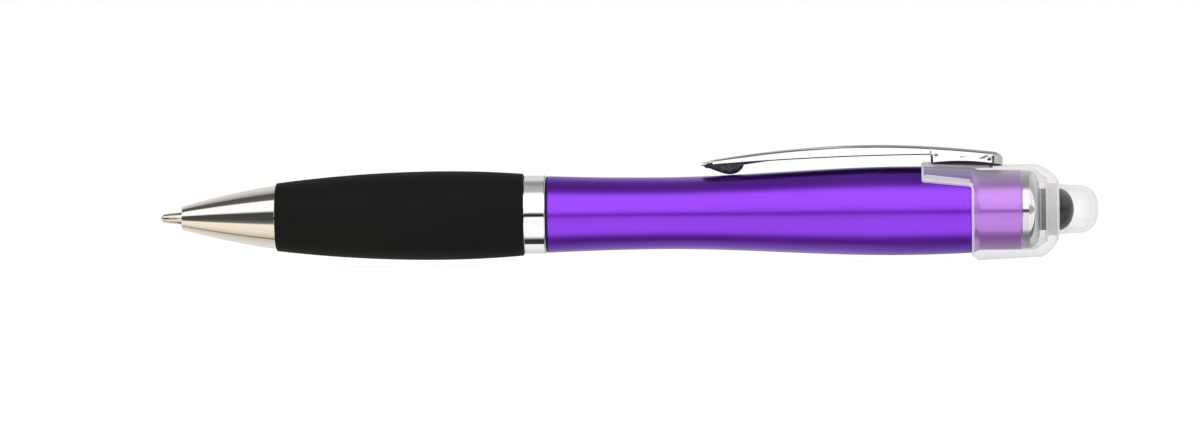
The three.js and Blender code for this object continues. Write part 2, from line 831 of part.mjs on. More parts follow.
// The cap's sleeve round the barrel's full width, of which only the tongue is kept
function capTongue(gap) {
  const end = skirtFrontAt + skirtChamfer;
  const wall = fixedFit + tongueWall + gap;
  return loft(steps(tongueFrontAt - gap, end, 4).map((s) => {
    const radius = barrelRadius(Math.min(s, skirtFrontAt)) + wall;
    return hoop(s, radius, radius, outerFacets);
  }));
}

// Side view of the cap: the tongue's sloping edge, a fillet, and the skirt's front edge going down
function capSideView() {
  const top = ribHeight + 1;
  const low = -capBottomFront - 1;
  const view = new THREE.Shape();
  view.moveTo(capEndAt + 1, top);
  view.lineTo(tongueFrontAt, top);
  view.lineTo(tongueFrontAt, tongueFrontEdge + tongueCorner);
  view.quadraticCurveTo(tongueFrontAt, tongueFrontEdge, tongueFrontAt + tongueCorner, tongueFrontEdge);
  view.lineTo(skirtFrontAt - tongueFillet, tongueRearEdge);
  view.quadraticCurveTo(skirtFrontAt, tongueRearEdge, skirtFrontAt, tongueRearEdge - tongueFillet);
  view.lineTo(skirtFrontAt, low);
  view.lineTo(capEndAt + 1, low);
  const width = 4 * capBottomFront;
  const slab = new THREE.ExtrudeGeometry(view, { depth: width, bevelEnabled: false, curveSegments: 4 });
  return slab.rotateX(Math.PI / 2).translate(0, width / 2, 0);
}

// The room inside the cap: the barrel with its clearance, the hollow behind it and the tip's hole
function capHollow() {
  const endWallAt = capEndAt - capEndWall;
  const spigotRoom = barrelSpigotRadius + fixedFit;
  const wide = steps(tongueFrontAt - 1, skirtFrontAt, 4);
  return revolve([
    [tongueFrontAt - 1, 0],
    ...wide.map((s) => [s, barrelRadius(s) + fixedFit]),
    [skirtFrontAt + seatGap, barrelShoulderRadius + fixedFit],
    [skirtFrontAt + seatGap, spigotRoom],
    [endWallAt - capHollowTaper, spigotRoom],
    [endWallAt, capHollowEndRadius],
    [endWallAt, holeRadius],
    [capEndAt + 1, holeRadius],
    [capEndAt + 1, 0],
  ], outerFacets);
}

function endCap() {
  const ribRearAt = clipRearAt - clipRearRound;
  const rib = block(clipMountAt + clipSheet, ribRearAt, ribHalfWidth, 0, ribHeight);
  const lip = block(tongueFrontAt, ribRearAt, ribHalfWidth, 0, lipHeight);
  const shell = join(capShell(0), capTongue(0), rib, lip);
  return cut(common(shell, capSideView()), capHollow());
}

// Height of the clip's ridge above the axis
function clipTop(station) {
  if (station < clipPeakAt) {
    const t = (clipPeakAt - station) / (clipPeakAt - clipTipAt);
    return clipPeakHeight - clipTipDrop * t * t;
  }
  const t = (station - clipPeakAt) / clipPeakSetback;
  return clipPeakHeight - clipRearDrop * t ** clipRearCurve;
}

// Height of the lower edge of the clip's arm
function clipUnder(station) {
  const t = (clipMountAt - station) / (clipMountAt - clipTipAt);
  return clipUnderHeight - 2 * clipUnderDrop * t * t;
}

// Height of the lower edge of the clip's sides where it grips the cap
function clipFlangeEdge(station) {
  const t = (station - clipMountAt) / (clipRearAt - clipMountAt);
  return mix(flangeEdgeFront, flangeEdgeRear, t) + flangeArch * 4 * t * (1 - t) * (1 - t);
}

// Half the clip's width, rounded in plan at both ends
function clipHalfWidth(station) {
  const width = mix(clipTipHalfWidth, clipMountHalfWidth, (station - clipTipAt) / clipLength);
  const front = Math.max(0, 1 - (station - clipTipAt) / clipTipRound);
  const rear = Math.max(0, 1 - (clipRearAt - station) / clipRearRound);
  return Math.max(width * Math.sqrt(1 - Math.max(front, rear) ** 2), clipSheet / 2);
}

// Section across the clip: upright sides under a crowned top
function clipSection(station, halfWidth, top, bottom) {
  const crown = Math.min(clipCrown, (top - bottom) / 2);
  const arch = steps(0, Math.PI, 8).map((angle) => [
    halfWidth * Math.cos(angle),
    top - crown + crown * Math.sin(angle) ** 0.8,
  ]);
  const corners = [...arch, [-halfWidth, bottom], [halfWidth, bottom]];
  return corners.map(([y, z]) => new THREE.Vector3(station, y, z));
}

function clipArm() {
  const ends = [0, 0.1, 0.35, 1].map((t) => clipTipAt + t * clipTipRound);
  const stations = [...ends, ...steps(clipTipAt + clipTipRound, clipMountAt + 1, 12).slice(1)];
  return loft(stations.map((s) => {
    const round = Math.max(0, 1 - (s - clipTipAt) / clipTipRound);
    const top = clipTop(s) - clipCrown * round * round;
    return clipSection(s, clipHalfWidth(s), top, Math.min(clipUnder(s), top - clipSheet));
  }));
}

// The part that saddles the cap's rib, with deeper sides and a rounded, closed rear end
function clipSaddle() {
  const rounded = [0, 0.5, 0.8, 0.95, 1].map((t) => clipRearAt - clipRearRound * (1 - t));
  const stations = [...steps(clipMountAt, clipRearAt - clipRearRound, 6).slice(0, -1), ...rounded];
  return loft(stations.map((s) => {
    const t = Math.max(0, 1 - (clipRearAt - s) / clipRearRound);
    const drop = (1 - Math.sqrt(1 - t * t)) * clipSheet;
    return clipSection(s, clipHalfWidth(s), clipTop(s) - drop, clipFlangeEdge(s));
  }));
}

// The hollow of the channel, open below, from just behind the foot to the rear wall
function clipHollow() {
  const from = footAt + footRearReach + clipSheet;
  const to = clipRearAt - clipRearRound + clipSheet;
  return loft(steps(from, to, 14).map((s) => {
    const halfWidth = mix(clipTipHalfWidth, clipMountHalfWidth, (s - clipTipAt) / clipLength);
    return clipSection(s, halfWidth - clipSheet, clipTop(s) - clipSheet, flangeEdgeRear - 1);
  }));
}

// Boat-shaped foot under the clip's front end: a long bow, a short stern and a rounded keel
function clipFoot() {
  const keel = barrelRadius(footAt) + footGap;
  const bow = steps(-0.98, 0, 5).map((t) => [footAt + t * footFrontReach, Math.sqrt(1 - t * t)]);
  const stern = steps(0, 0.98, 4).slice(1).map((t) => [footAt + t * footRearReach, Math.sqrt(1 - t * t)]);
  return loft([...bow, ...stern].map(([s, fullness]) => {
    const halfWidth = Math.min(footHalfWidth * fullness ** 0.5, clipHalfWidth(s) - footGap);
    const deck = clipTop(s) - footWall;
    const hull = steps(0, Math.PI, 6).map((angle) => [
      halfWidth * Math.cos(angle),
      deck - (deck - keel) * fullness * Math.sin(angle),
    ]);
    const rim = [-halfWidth, halfWidth].map((y) => [y, deck + footWall / 2]);
    return [...hull, ...rim].map(([y, z]) => new THREE.Vector3(s, y, z));
  }));
}

function clip() {
  const body = join(clipArm(), clipSaddle(), clipFoot());
  return cut(body, clipHollow(), capShell(clipSeatGap), capTongue(clipSeatGap));
}

function material(color, roughness, metalness, opacity = 1) {
  return new THREE.MeshStandardMaterial({ color, roughness, metalness, opacity, transparent: opacity < 1 });
}

const finishes = {
  chrome: material(0xd8d8da, 0.12, 1),
  steel: material(0x9c9c9e, 0.3, 1),
  brass: material(0xc8a24c, 0.3, 1),
  purpleAluminium: material(0x8a3ae6, 0.3, 0.8),
  blackRubber: material(0x1c1c1b, 0.75, 0),
  blackPlastic: material(0x262628, 0.5, 0),
  whitePlastic: material(0xe6e6e2, 0.45, 0),
  inkTube: material(0x27324f, 0.35, 0),
  frosted: material(0xe9e6ee, 0.35, 0, 0.45),
  silicone: material(0xf2f0ea, 0.3, 0, 0.5),
  smokedLens: material(0x3a3a3e, 0.08, 0, 0.9),
  clearLens: material(0xdfe8f2, 0.1, 0, 0.6),
};

const pieces = [
  ['nose_cone', noseCone(), finishes.chrome],
  ['grip_sleeve', gripSleeve(), finishes.blackRubber],
  ['lower_barrel', lowerBarrel(), finishes.blackPlastic],
  ['centre_ring', centreRing(), finishes.chrome],
  ['writing_ball', writingBall(), finishes.steel],
  ['refill_point', refillPoint(), finishes.brass],
  ['refill_tube', refillTube(), finishes.inkTube],
  ['return_spring', returnSpring(), finishes.steel],
  ['cam_follower', camFollower(), finishes.whitePlastic],
  ['twist_guide', twistGuide(), finishes.whitePlastic],
  ['twist_cam', twistCam(), finishes.blackPlastic],
  ['upper_barrel', upperBarrel(), finishes.purpleAluminium],
  ['battery_tube', batteryTube(), finishes.whitePlastic],
  ['contact_strip', contactStrip(), finishes.brass],
  ['battery_spring', batterySpring(), finishes.steel],
  ['contact_plate', contactPlate(), finishes.brass],
  ['insulator_ring', insulatorRing(), finishes.whitePlastic],
  ['switch_spring', switchSpring(), finishes.steel],
  ['light_collar', lightCollar(), finishes.chrome],
  ['led', lightEmittingDiode(), finishes.clearLens],
  ['lens_plunger', lensPlunger(), finishes.smokedLens],
  ['stylus_tip', stylusTip(), finishes.silicone],
  ['end_cap', endCap(), finishes.frosted],
  ['clip', clip(), finishes.chrome],
];
for (let number = 0; number < cellCount; number += 1) {
  pieces.push([`button_cell_${number + 1}`, buttonCell(number), finishes.steel]);
}

// The pen lies on the cap's lowest line, just behind the skirt's chamfer
const axisHeight = capBottom(skirtFrontAt + skirtChamfer);
const pen = new THREE.Group();
pen.position.set(-penLength / 2, 0, axisHeight);
for (const [name, geometry, finish] of pieces) {
  const mesh = new THREE.Mesh(geometry, finish);
  mesh.name = name;
  pen.add(mesh);
}

export default pen;
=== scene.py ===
# A light-up stylus pen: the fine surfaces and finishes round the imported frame.
# Sizes are in millimetres and turn into metres in point(). Places along the pen are stations:
# distances behind the front of the writing ball, as in the frame.
import json
import math

import bmesh
import bpy
from mathutils import Matrix, Vector


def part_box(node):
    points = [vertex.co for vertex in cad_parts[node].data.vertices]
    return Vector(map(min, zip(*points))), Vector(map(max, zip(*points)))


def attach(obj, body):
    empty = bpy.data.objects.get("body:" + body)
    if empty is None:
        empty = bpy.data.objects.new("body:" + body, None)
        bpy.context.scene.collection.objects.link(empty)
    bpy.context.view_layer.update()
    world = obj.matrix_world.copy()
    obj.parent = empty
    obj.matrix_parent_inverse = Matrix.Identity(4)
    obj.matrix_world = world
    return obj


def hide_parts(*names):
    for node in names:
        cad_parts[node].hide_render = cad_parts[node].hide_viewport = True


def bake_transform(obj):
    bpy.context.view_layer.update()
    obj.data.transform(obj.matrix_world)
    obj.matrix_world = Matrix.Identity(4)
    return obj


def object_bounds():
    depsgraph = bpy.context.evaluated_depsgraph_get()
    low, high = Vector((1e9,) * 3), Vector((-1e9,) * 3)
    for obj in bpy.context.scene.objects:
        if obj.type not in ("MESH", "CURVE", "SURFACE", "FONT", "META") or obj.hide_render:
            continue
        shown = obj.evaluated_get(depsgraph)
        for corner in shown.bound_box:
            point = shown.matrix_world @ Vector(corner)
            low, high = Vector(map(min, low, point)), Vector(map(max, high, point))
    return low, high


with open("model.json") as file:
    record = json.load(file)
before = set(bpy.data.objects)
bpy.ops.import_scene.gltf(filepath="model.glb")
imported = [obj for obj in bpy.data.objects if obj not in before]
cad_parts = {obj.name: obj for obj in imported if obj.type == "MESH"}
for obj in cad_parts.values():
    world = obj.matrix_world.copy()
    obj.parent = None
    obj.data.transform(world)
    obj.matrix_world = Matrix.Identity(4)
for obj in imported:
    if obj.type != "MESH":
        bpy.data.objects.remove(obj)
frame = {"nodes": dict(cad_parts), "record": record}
CAD_BOUNDS = [list(corner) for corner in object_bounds()]
scene = bpy.context.scene
MM = 0.001

# Photograph: size, scale at the pen, where the axis crosses it and how the camera stood
PHOTO_WIDTH = 1200
PHOTO_HEIGHT = 431
MM_PER_PIXEL = 0.1515
BALL_PIXEL = 160.3
AXIS_PIXEL_AT_BALL = 218.5
AXIS_RISE = 0.0104
CAMERA_DISTANCE = 1.2
CAMERA_AZIMUTH = math.radians(2.3)
SENSOR_WIDTH = 36

# Facets round each turned surface, and what counts as no distance
TURNS = 128
TINY = 1e-7

# Shape values that the frame's boxes don't give, with FIT for the clearance between neighbours
NOSE_FACE_RADIUS = 1.74
NOSE_BULGE = 0.25
NOSE_BORE = 1.1
NOSE_BORE_LENGTH = 5.5
NOSE_ROOM_RADIUS = 2.35
NOSE_WALL = 1.0
GRIP_FRONT_RADIUS = 5.15
GRIP_REAR_RADIUS = 6.2
GRIP_BELLY_SETBACK = 24.94
GRIP_CORE_RADIUS = 4.9
BARREL_FRONT_RADIUS = 5.83
BARREL_WAIST_RADIUS = 5.44
BARREL_SHOULDER_RADIUS = 6.48
BARREL_SPIGOT_RADIUS = 6.0
BARREL_WALL = 0.65
SHOULDER_LENGTH = 1.3
SPIGOT_BORE = 5.4
SPIGOT_BORE_LEAD = 1.2
WALL_CURVE_LEAD = 2.4
WAIST_SETBACK = 17.5
BELLY_SETBACK = 53.5
SKIRT_LENGTH = 7.55
EDGE_ROUND = 0.25
FIT = 0.05

# Painted shade for the gap behind the ring: a shallow step in a dark finish
SEAM_LENGTH = 0.28
SEAM_DEPTH = 0.08

# Rounded corners: an arc's largest share of a side, its steps, and the reach held flat beyond it
CORNER_SHARE = 0.45
CORNER_STEPS = 5
CORNER_HOLD = 0.06
CORNER_HOLD_SHARE = 0.3


def station_of(x):
    """Station, in millimetres, of a place along X in the frame."""
    return (x - CAD_BOUNDS[0][0]) / MM


def span(node):
    """Front station, rear station and largest half-width of a CAD node."""
    low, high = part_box(node)
    return station_of(low[0]), station_of(high[0]), (high[1] - low[1]) / 2 / MM


barrel_low, barrel_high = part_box("upper_barrel")
AXIS_HEIGHT = (barrel_low[2] + barrel_high[2]) / 2
NOSE_FRONT, _, NOSE_REAR_RADIUS = span("nose_cone")
GRIP_FRONT, GRIP_REAR, GRIP_BELLY_RADIUS = span("grip_sleeve")
RING_FRONT, RING_REAR, RING_RADIUS = span("centre_ring")
BARREL_FRONT, BARREL_REAR, BARREL_BELLY_RADIUS = span("upper_barrel")
TONGUE_FRONT, CAP_END, _ = span("end_cap")
COLLAR_FRONT, COLLAR_REAR, COLLAR_RADIUS = span("light_collar")
PLUNGER_FRONT, LENS_END, PLUNGER_FLANGE_RADIUS = span("lens_plunger")
TIP_FRONT, TIP_END, TIP_SKIRT_RADIUS = span("stylus_tip")
CLIP_TIP, CLIP_REAR, CLIP_MOUNT_HALF_WIDTH = span("clip")
POINT_FRONT, POINT_REAR, _ = span("refill_point")
BALL_RADIUS = span("writing_ball")[2]
SKIRT_FRONT = BARREL_REAR - SKIRT_LENGTH
WAIST_AT = RING_REAR + WAIST_SETBACK
BELLY_AT = RING_REAR + BELLY_SETBACK
GRIP_BELLY_AT = GRIP_FRONT + GRIP_BELLY_SETBACK


def mix(a, b, t):
    return a + (b - a) * t


def steps(start, end, count):
    return [mix(start, end, i / count) for i in range(count + 1)]


def smooth(t):
    return t * t * (3 - 2 * t)


def clamp(t):
    return min(1, max(0, t))


def quarter(count):
    return steps(0, math.pi / 2, count)


def rounded_end(end, length, count):
    """Stations that draw closer together towards a rounded end."""
    return [end - length * (1 - math.sin(a)) for a in quarter(count)]


def point(station, y, z):
    """A point in metres from a station, a side offset and a height above the axis."""
    return Vector((CAD_BOUNDS[0][0] + station * MM, y * MM, AXIS_HEIGHT + z * MM))


def around(station, radius, angle):
    """A point at a clock angle round the axis, 0 on top."""
    return point(station, -radius * math.sin(angle), radius * math.cos(angle))


def add_object(name, data):
    obj = bpy.data.objects.new(name, data)
    scene.collection.objects.link(obj)
    return obj


def finish_mesh(name, builder, sharp_degrees=40):
    """Turns a filled bmesh into a smooth-shaded object whose real edges stay sharp."""
    bmesh.ops.remove_doubles(builder, verts=builder.verts, dist=TINY)
    bmesh.ops.recalc_face_normals(builder, faces=builder.faces)
    mesh = bpy.data.meshes.new(name)
    builder.to_mesh(mesh)
    builder.free()
    mesh.shade_smooth()
    mesh.set_sharp_from_angle(angle=math.radians(sharp_degrees))
    return add_object(name, mesh)


def skin(builder, rings, closed_ends=False, finish=None):
    """Faces between closed rings of equally many points. The row of rings may close too, and
    finish(row, column) gives a face the piece's second or third finish with 1 or 2."""
    grid = [[builder.verts.new(p) for p in ring] for ring in rings]
    rows = list(zip(grid, grid[1:]))
    if closed_ends:
        rows.append((grid[-1], grid[0]))
    for row, (near, far) in enumerate(rows):
        for i in range(len(near)):
            j = (i + 1) % len(near)
            corners = [near[i], near[j], far[j], far[i]]
            if len({tuple(v.co) for v in corners}) >= 3:
                face = builder.faces.new(corners)
                face.material_index = int(finish(row, i)) if finish else 0
    return grid


def close_ends(builder, grid):
    for row in (grid[0], grid[-1]):
        builder.faces.new(row)


def round_corners(profile):
    """The same outline with each marked corner, a third item in its entry, turned into a short arc.
    A point just outside each end of the arc keeps the shading of the straight parts flat."""
    result = []
    count = len(profile)
    for i, entry in enumerate(profile):
        if len(entry) == 2:
            result.append(entry)
            continue
        here = Vector(entry[:2])
        before = Vector(profile[i - 1][:2]) - here
        after = Vector(profile[(i + 1) % count][:2]) - here
        size = min(entry[2] * EDGE_ROUND, before.length * CORNER_SHARE, after.length * CORNER_SHARE)
        start = here + before.normalized() * size
        end = here + after.normalized() * size
        hold = min(CORNER_HOLD, size * CORNER_HOLD_SHARE)
        if before.length > 2 * (size + hold):
            result.append(tuple(start + before.normalized() * hold))
        for t in steps(0, 1, CORNER_STEPS):
            result.append(tuple(start * (1 - t) ** 2 + here * 2 * t * (1 - t) + end * t * t))
        if after.length > 2 * (size + hold):
            result.append(tuple(end + after.normalized() * hold))
    return result


def lathe(name, profile, turns=TURNS, finish=None):
    """A profile of (station, radius) pairs turned round the axis. A third item rounds that corner,
    and finish(station, radius) gives the second or third finish with 1 or 2."""
    outline = round_corners(profile)
    on_axis = outline[0][1] < TINY and outline[-1][1] < TINY
    builder = bmesh.new()
    rings = []
    for station, radius in outline:
        rings.append([around(station, radius, 2 * math.pi * i / turns) for i in range(turns)])

    def finish_of(row, _):
        near, far = outline[row], outline[(row + 1) % len(outline)]
        return finish((near[0] + far[0]) / 2, (near[1] + far[1]) / 2) if finish else 0

    skin(builder, rings, not on_axis, finish_of)
    return finish_mesh(name, builder)


def grip_radius(station):
    ahead = station < GRIP_BELLY_AT
    end = GRIP_FRONT_RADIUS if ahead else GRIP_REAR_RADIUS
    reach = GRIP_BELLY_AT - GRIP_FRONT if ahead else GRIP_REAR - GRIP_BELLY_AT
    return GRIP_BELLY_RADIUS - (GRIP_BELLY_RADIUS - end) * ((station - GRIP_BELLY_AT) / reach) ** 2


def nose_radius(station):
    t = (station - NOSE_FRONT) / (GRIP_FRONT - NOSE_FRONT)
    return mix(NOSE_FACE_RADIUS, NOSE_REAR_RADIUS, t) + NOSE_BULGE * 4 * t * (1 - t)


def barrel_radius(station):
    if station < WAIST_AT:
        t = (WAIST_AT - station) / WAIST_SETBACK
        return BARREL_WAIST_RADIUS + (BARREL_FRONT_RADIUS - BARREL_WAIST_RADIUS) * t * t
    if station < BELLY_AT:
        t = (station - WAIST_AT) / (BELLY_AT - WAIST_AT)
        return mix(BARREL_WAIST_RADIUS, BARREL_BELLY_RADIUS, smooth(t))
    t = (station - BELLY_AT) / (SKIRT_FRONT - BELLY_AT)
    return BARREL_BELLY_RADIUS - (BARREL_BELLY_RADIUS - BARREL_SHOULDER_RADIUS) * t * t


def falling_round(station, length, from_radius, to_radius, count, fullness=2.0):
    """Quarter ellipse that falls from one radius to another over a length behind a station.
    A fullness above 2 gives it a blunter end."""
    power = 2 / fullness
    drop = from_radius - to_radius
    return [(station + length * math.sin(a) ** power, to_radius + drop * max(0, math.cos(a)) ** power)
            for a in quarter(count)[1:]]


def make_nose():
    rear = GRIP_FRONT - FIT
    bore_end = NOSE_FRONT + NOSE_BORE_LENGTH
    outside = [(s, nose_radius(s)) for s in steps(NOSE_FRONT, rear, 40)][1:-1]
    return lathe("nose_surface", [
        (bore_end, NOSE_BORE),
        (NOSE_FRONT, NOSE_BORE, 0.4),
        (NOSE_FRONT, NOSE_FACE_RADIUS, 0.6),
        *outside,
        (rear, NOSE_REAR_RADIUS, 0.3),
        (rear, NOSE_REAR_RADIUS - NOSE_WALL),
        (bore_end + NOSE_WALL, NOSE_ROOM_RADIUS),
        (bore_end, NOSE_ROOM_RADIUS),
    ])


def make_grip():
    outside = [(s, grip_radius(s)) for s in steps(GRIP_FRONT, GRIP_REAR, 60)][1:-1]
    return lathe("grip_surface", [
        (GRIP_FRONT, GRIP_CORE_RADIUS),
        (GRIP_FRONT, GRIP_FRONT_RADIUS, 1.2),
        *outside,
        (GRIP_REAR, GRIP_REAR_RADIUS, 1.2),
        (GRIP_REAR, GRIP_CORE_RADIUS),
    ])


def make_ring():
    return lathe("ring_surface", [
        (RING_FRONT, GRIP_CORE_RADIUS),
        (RING_FRONT, RING_RADIUS, 0.7),
        (RING_REAR, RING_RADIUS, 0.7),
        (RING_REAR, GRIP_CORE_RADIUS),
    ])


def shoulder_fall(station):
    """How far the radius has fallen from the barrel's shoulder to its spigot, 0 to 1."""
    return smooth(clamp((station - SKIRT_FRONT) / SHOULDER_LENGTH))


def make_barrel():
    """The barrel's shell. Its spigot in the cap is the second finish, and the seam, painted shade for the
    gap behind the ring, the third.
    """
    inner_rear = SKIRT_FRONT - WALL_CURVE_LEAD
    outside = [(s, barrel_radius(s)) for s in steps(BARREL_FRONT, SKIRT_FRONT, 120)][1:]
    shoulder = [(s, mix(BARREL_SHOULDER_RADIUS, BARREL_SPIGOT_RADIUS, shoulder_fall(s)))
                for s in steps(SKIRT_FRONT, SKIRT_FRONT + SHOULDER_LENGTH, 8)][1:]
    inside = [(s, barrel_radius(s) - BARREL_WALL) for s in steps(inner_rear, BARREL_FRONT, 40)]
    seam_end = BARREL_FRONT + SEAM_LENGTH
    return lathe("barrel_surface", [
        (BARREL_FRONT, barrel_radius(BARREL_FRONT) - SEAM_DEPTH),
        (seam_end, barrel_radius(seam_end) - SEAM_DEPTH),
        (seam_end, barrel_radius(seam_end), 0.5),
        *outside,
        *shoulder,
        (BARREL_REAR, BARREL_SPIGOT_RADIUS, 1),
        (BARREL_REAR, SPIGOT_BORE),
        (SKIRT_FRONT - SPIGOT_BORE_LEAD, SPIGOT_BORE),
        *inside,
    ], finish=lambda station, _: 2 if station < seam_end else station > SKIRT_FRONT)


# Refill's point: the stations where its tip, cone, neck, stem and collar end, the radii of its rim,
# inside and out, tip, neck, stem, collar, tang and ink channel, and half the socket's rear opening
POINT_ENDS = (1.1, 2.9, 6.8, 10.7, 12.2)
POINT_RADII = (0.49, 0.6, 0.74, 0.93, NOSE_BORE - FIT, 1.5, 1.03, 0.25)
SOCKET_OPENING = 0.5


def make_point():
    """The refill's metal point with the ball's socket."""
    tip_end, cone_end, neck_end, stem_end, collar_end = POINT_ENDS
    rim_inside, rim, tip, neck, stem, collar, tang, channel = POINT_RADII
    socket = BALL_RADIUS + FIT
    rim_angle = math.acos((BALL_RADIUS - POINT_FRONT) / socket)
    hollow = [(BALL_RADIUS - socket * math.cos(a), socket * math.sin(a))
              for a in steps(rim_angle, math.pi - SOCKET_OPENING, 10)[1:]]
    return lathe("point_surface", [
        (POINT_FRONT, rim_inside),
        *hollow,
        (POINT_REAR, channel),
        (POINT_REAR, tang),
        (collar_end, tang),
        (collar_end, collar),
        (stem_end, collar),
        (stem_end, stem),
        (neck_end, stem, 0.6),
        (neck_end, neck),
        (cone_end, neck, 2),
        (tip_end, tip, 1),
        (POINT_FRONT, rim, 0.4),
    ], turns=64)


def make_ball():
    builder = bmesh.new()
    bmesh.ops.create_uvsphere(builder, u_segments=48, v_segments=32, radius=BALL_RADIUS * MM)
    bmesh.ops.translate(builder, verts=builder.verts, vec=point(BALL_RADIUS, 0, 0))
    return finish_mesh("ball_surface", builder)


# Springs: wire radius, turns, and the two bodies that their front and rear ends ride on
COILS = {
    "return_spring": (0.18, 12, "front_section", "refill"),
    "switch_spring": (0.2, 6, "barrel", "stylus_button"),
}
COIL_STEPS = 24
WIRE_SIDES = 12


def make_coil(node):
    """A wound spring of the node's length and width, in round wire."""
    wire, turns, _, _ = COILS[node]
    front, rear, outer = span(node)
    radius = outer - wire
    pitch = (rear - front - 2 * wire) / turns
    lean = math.atan2(pitch, 2 * math.pi * radius)
    rings = []
    for i in range(turns * COIL_STEPS + 1):
        turn = 2 * math.pi * i / COIL_STEPS
        outward = Vector((0, math.cos(turn), math.sin(turn)))
        along = Vector((math.sin(lean), -math.sin(turn) * math.cos(lean), math.cos(turn) * math.cos(lean)))
        side = along.cross(outward)
        centre = Vector((front + wire + pitch * i / COIL_STEPS, 0, 0)) + radius * outward
        ring = [centre + wire * (outward * math.cos(a) + side * math.sin(a))
                for a in steps(0, 2 * math.pi, WIRE_SIDES)[:-1]]
        rings.append([point(*place) for place in ring])
    builder = bmesh.new()
    close_ends(builder, skin(builder, rings))
    return finish_mesh(node + "_wire", builder)


def make_springs(material):
    """The springs that joints work on, each in its node's place between the two bodies that it pushes
    apart.
    """
    for node, (wire, _, front_body, rear_body) in COILS.items():
        piece = make_coil(node)
        dress(piece, material)
        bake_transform(piece)
        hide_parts(node)


# Light unit behind the barrel
PLUNGER_RADIUS = 3.15
COLLAR_BORE = 3.25
COLLAR_SPIGOT_RADIUS = 5.35
COLLAR_WALL = 0.6
COLLAR_LIP = 0.28
COLLAR_RIM_LENGTH = 0.85
COLLAR_DOME_LENGTH = 1.8
COLLAR_SHOULDER_SETBACK = 1.4
FLANGE_THICKNESS = 1.0
LED_SETBACK = 0.4
LED_LENGTH = 5.3
LED_ROOM_RADIUS = 1.6
LED_RIM_LENGTH = 1.1
LED_RIM_RADIUS = 2.0
# Stations of a dark band of painted shade round the plunger's body
PLUNGER_SHADE_BAND = (133.3, 134.0)
# Groove round the plunger and the tip's bead in it
GROOVE_SETBACK = 0.4
GROOVE_LENGTH = 0.7
BEAD_SETBACK = 0.5
BEAD_LENGTH = 0.5
BEAD_DEPTH = 0.2
BODY_LEAST_RADIUS = 2.5
TIP_FIT = 0.1
TIP_DOME_RADIUS = 3.6
TIP_DOME_LENGTH = 2.9
TIP_DOME_FULLNESS = 2.3
TIP_WALL = 0.5
TIP_END_WALL = 0.9
LENS_BASE = CAP_END - FIT


def make_collar():
    rim = BARREL_REAR + FIT
    dome = rim + COLLAR_RIM_LENGTH
    shoulder = BARREL_REAR - COLLAR_SHOULDER_SETBACK
    return lathe("collar_surface", [
        (COLLAR_FRONT, COLLAR_SPIGOT_RADIUS - COLLAR_WALL),
        (COLLAR_FRONT, COLLAR_SPIGOT_RADIUS, 0.4),
        (rim, COLLAR_SPIGOT_RADIUS),
        (rim, COLLAR_RADIUS, 0.5),
        (dome, COLLAR_RADIUS),
        *falling_round(dome, COLLAR_DOME_LENGTH, COLLAR_RADIUS, COLLAR_BORE + COLLAR_LIP, 20),
        (COLLAR_REAR, COLLAR_BORE),
        (shoulder, COLLAR_BORE),
        (shoulder, COLLAR_SPIGOT_RADIUS - COLLAR_WALL),
    ])


def make_plunger():
    """The smoked dome and flange. The body is the second finish, and a dark band of painted shade on it
    the third.
    """
    led_base = PLUNGER_FRONT + LED_SETBACK
    led_end = led_base + LED_LENGTH + TIP_FIT
    flange_rear = PLUNGER_FRONT + FLANGE_THICKNESS
    groove = TIP_FRONT + GROOVE_SETBACK

    def body(station, radius):
        if radius < BODY_LEAST_RADIUS or not flange_rear < station < LENS_BASE:
            return 0
        return 2 if PLUNGER_SHADE_BAND[0] < station < PLUNGER_SHADE_BAND[1] else 1

    return lathe("plunger_surface", [
        (led_end, 0),
        (led_end, LED_ROOM_RADIUS),
        (led_base + LED_RIM_LENGTH, LED_ROOM_RADIUS),
        (led_base + LED_RIM_LENGTH, LED_RIM_RADIUS),
        (PLUNGER_FRONT, LED_RIM_RADIUS),
        (PLUNGER_FRONT, PLUNGER_FLANGE_RADIUS, 0.6),
        (flange_rear, PLUNGER_FLANGE_RADIUS, 0.6),
        *((s, PLUNGER_RADIUS) for s in (flange_rear, *PLUNGER_SHADE_BAND, groove)),
        (groove, PLUNGER_RADIUS - BEAD_DEPTH),
        (groove + GROOVE_LENGTH, PLUNGER_RADIUS - BEAD_DEPTH),
        (groove + GROOVE_LENGTH, PLUNGER_RADIUS),
        (LENS_BASE, PLUNGER_RADIUS),
        *falling_round(LENS_BASE, LENS_END - LENS_BASE, PLUNGER_RADIUS, 0, 28),
    ], finish=body)


def make_tip():
    """Hollow silicone tip: its skirt, in the second finish, and the dome's outer and inner walls,
    the inner one in the third."""
    dome = TIP_END - TIP_DOME_LENGTH
    bore = PLUNGER_RADIUS + TIP_FIT
    outer = falling_round(dome, TIP_DOME_LENGTH, TIP_DOME_RADIUS, 0, 36, TIP_DOME_FULLNESS)
    inner = falling_round(dome, TIP_DOME_LENGTH - TIP_END_WALL, TIP_DOME_RADIUS - TIP_WALL, 0, 36,
                          TIP_DOME_FULLNESS)
    bead = TIP_FRONT + BEAD_SETBACK

    def wall(station, radius):
        if station < CAP_END:
            return 1
        fall = max(0, (station - dome) / TIP_DOME_LENGTH)
        return 2 * (radius < TIP_DOME_RADIUS * math.sqrt(1 - fall * fall) - TIP_WALL / 2)

    return lathe("tip_surface", [
        *reversed(inner),
        (dome, TIP_DOME_RADIUS - TIP_WALL),
        (LENS_BASE + TIP_FIT, bore),
        (bead + BEAD_LENGTH, bore),
        (bead + BEAD_LENGTH, bore - BEAD_DEPTH, 0.5),
        (bead, bore - BEAD_DEPTH, 0.5),
        (bead, bore),
        (TIP_FRONT, bore),
        (TIP_FRONT, TIP_SKIRT_RADIUS, 0.8),
        (CAP_END + TIP_FIT, TIP_SKIRT_RADIUS, 2),
        (dome, TIP_DOME_RADIUS),
        *outer,
    ], finish=wall)


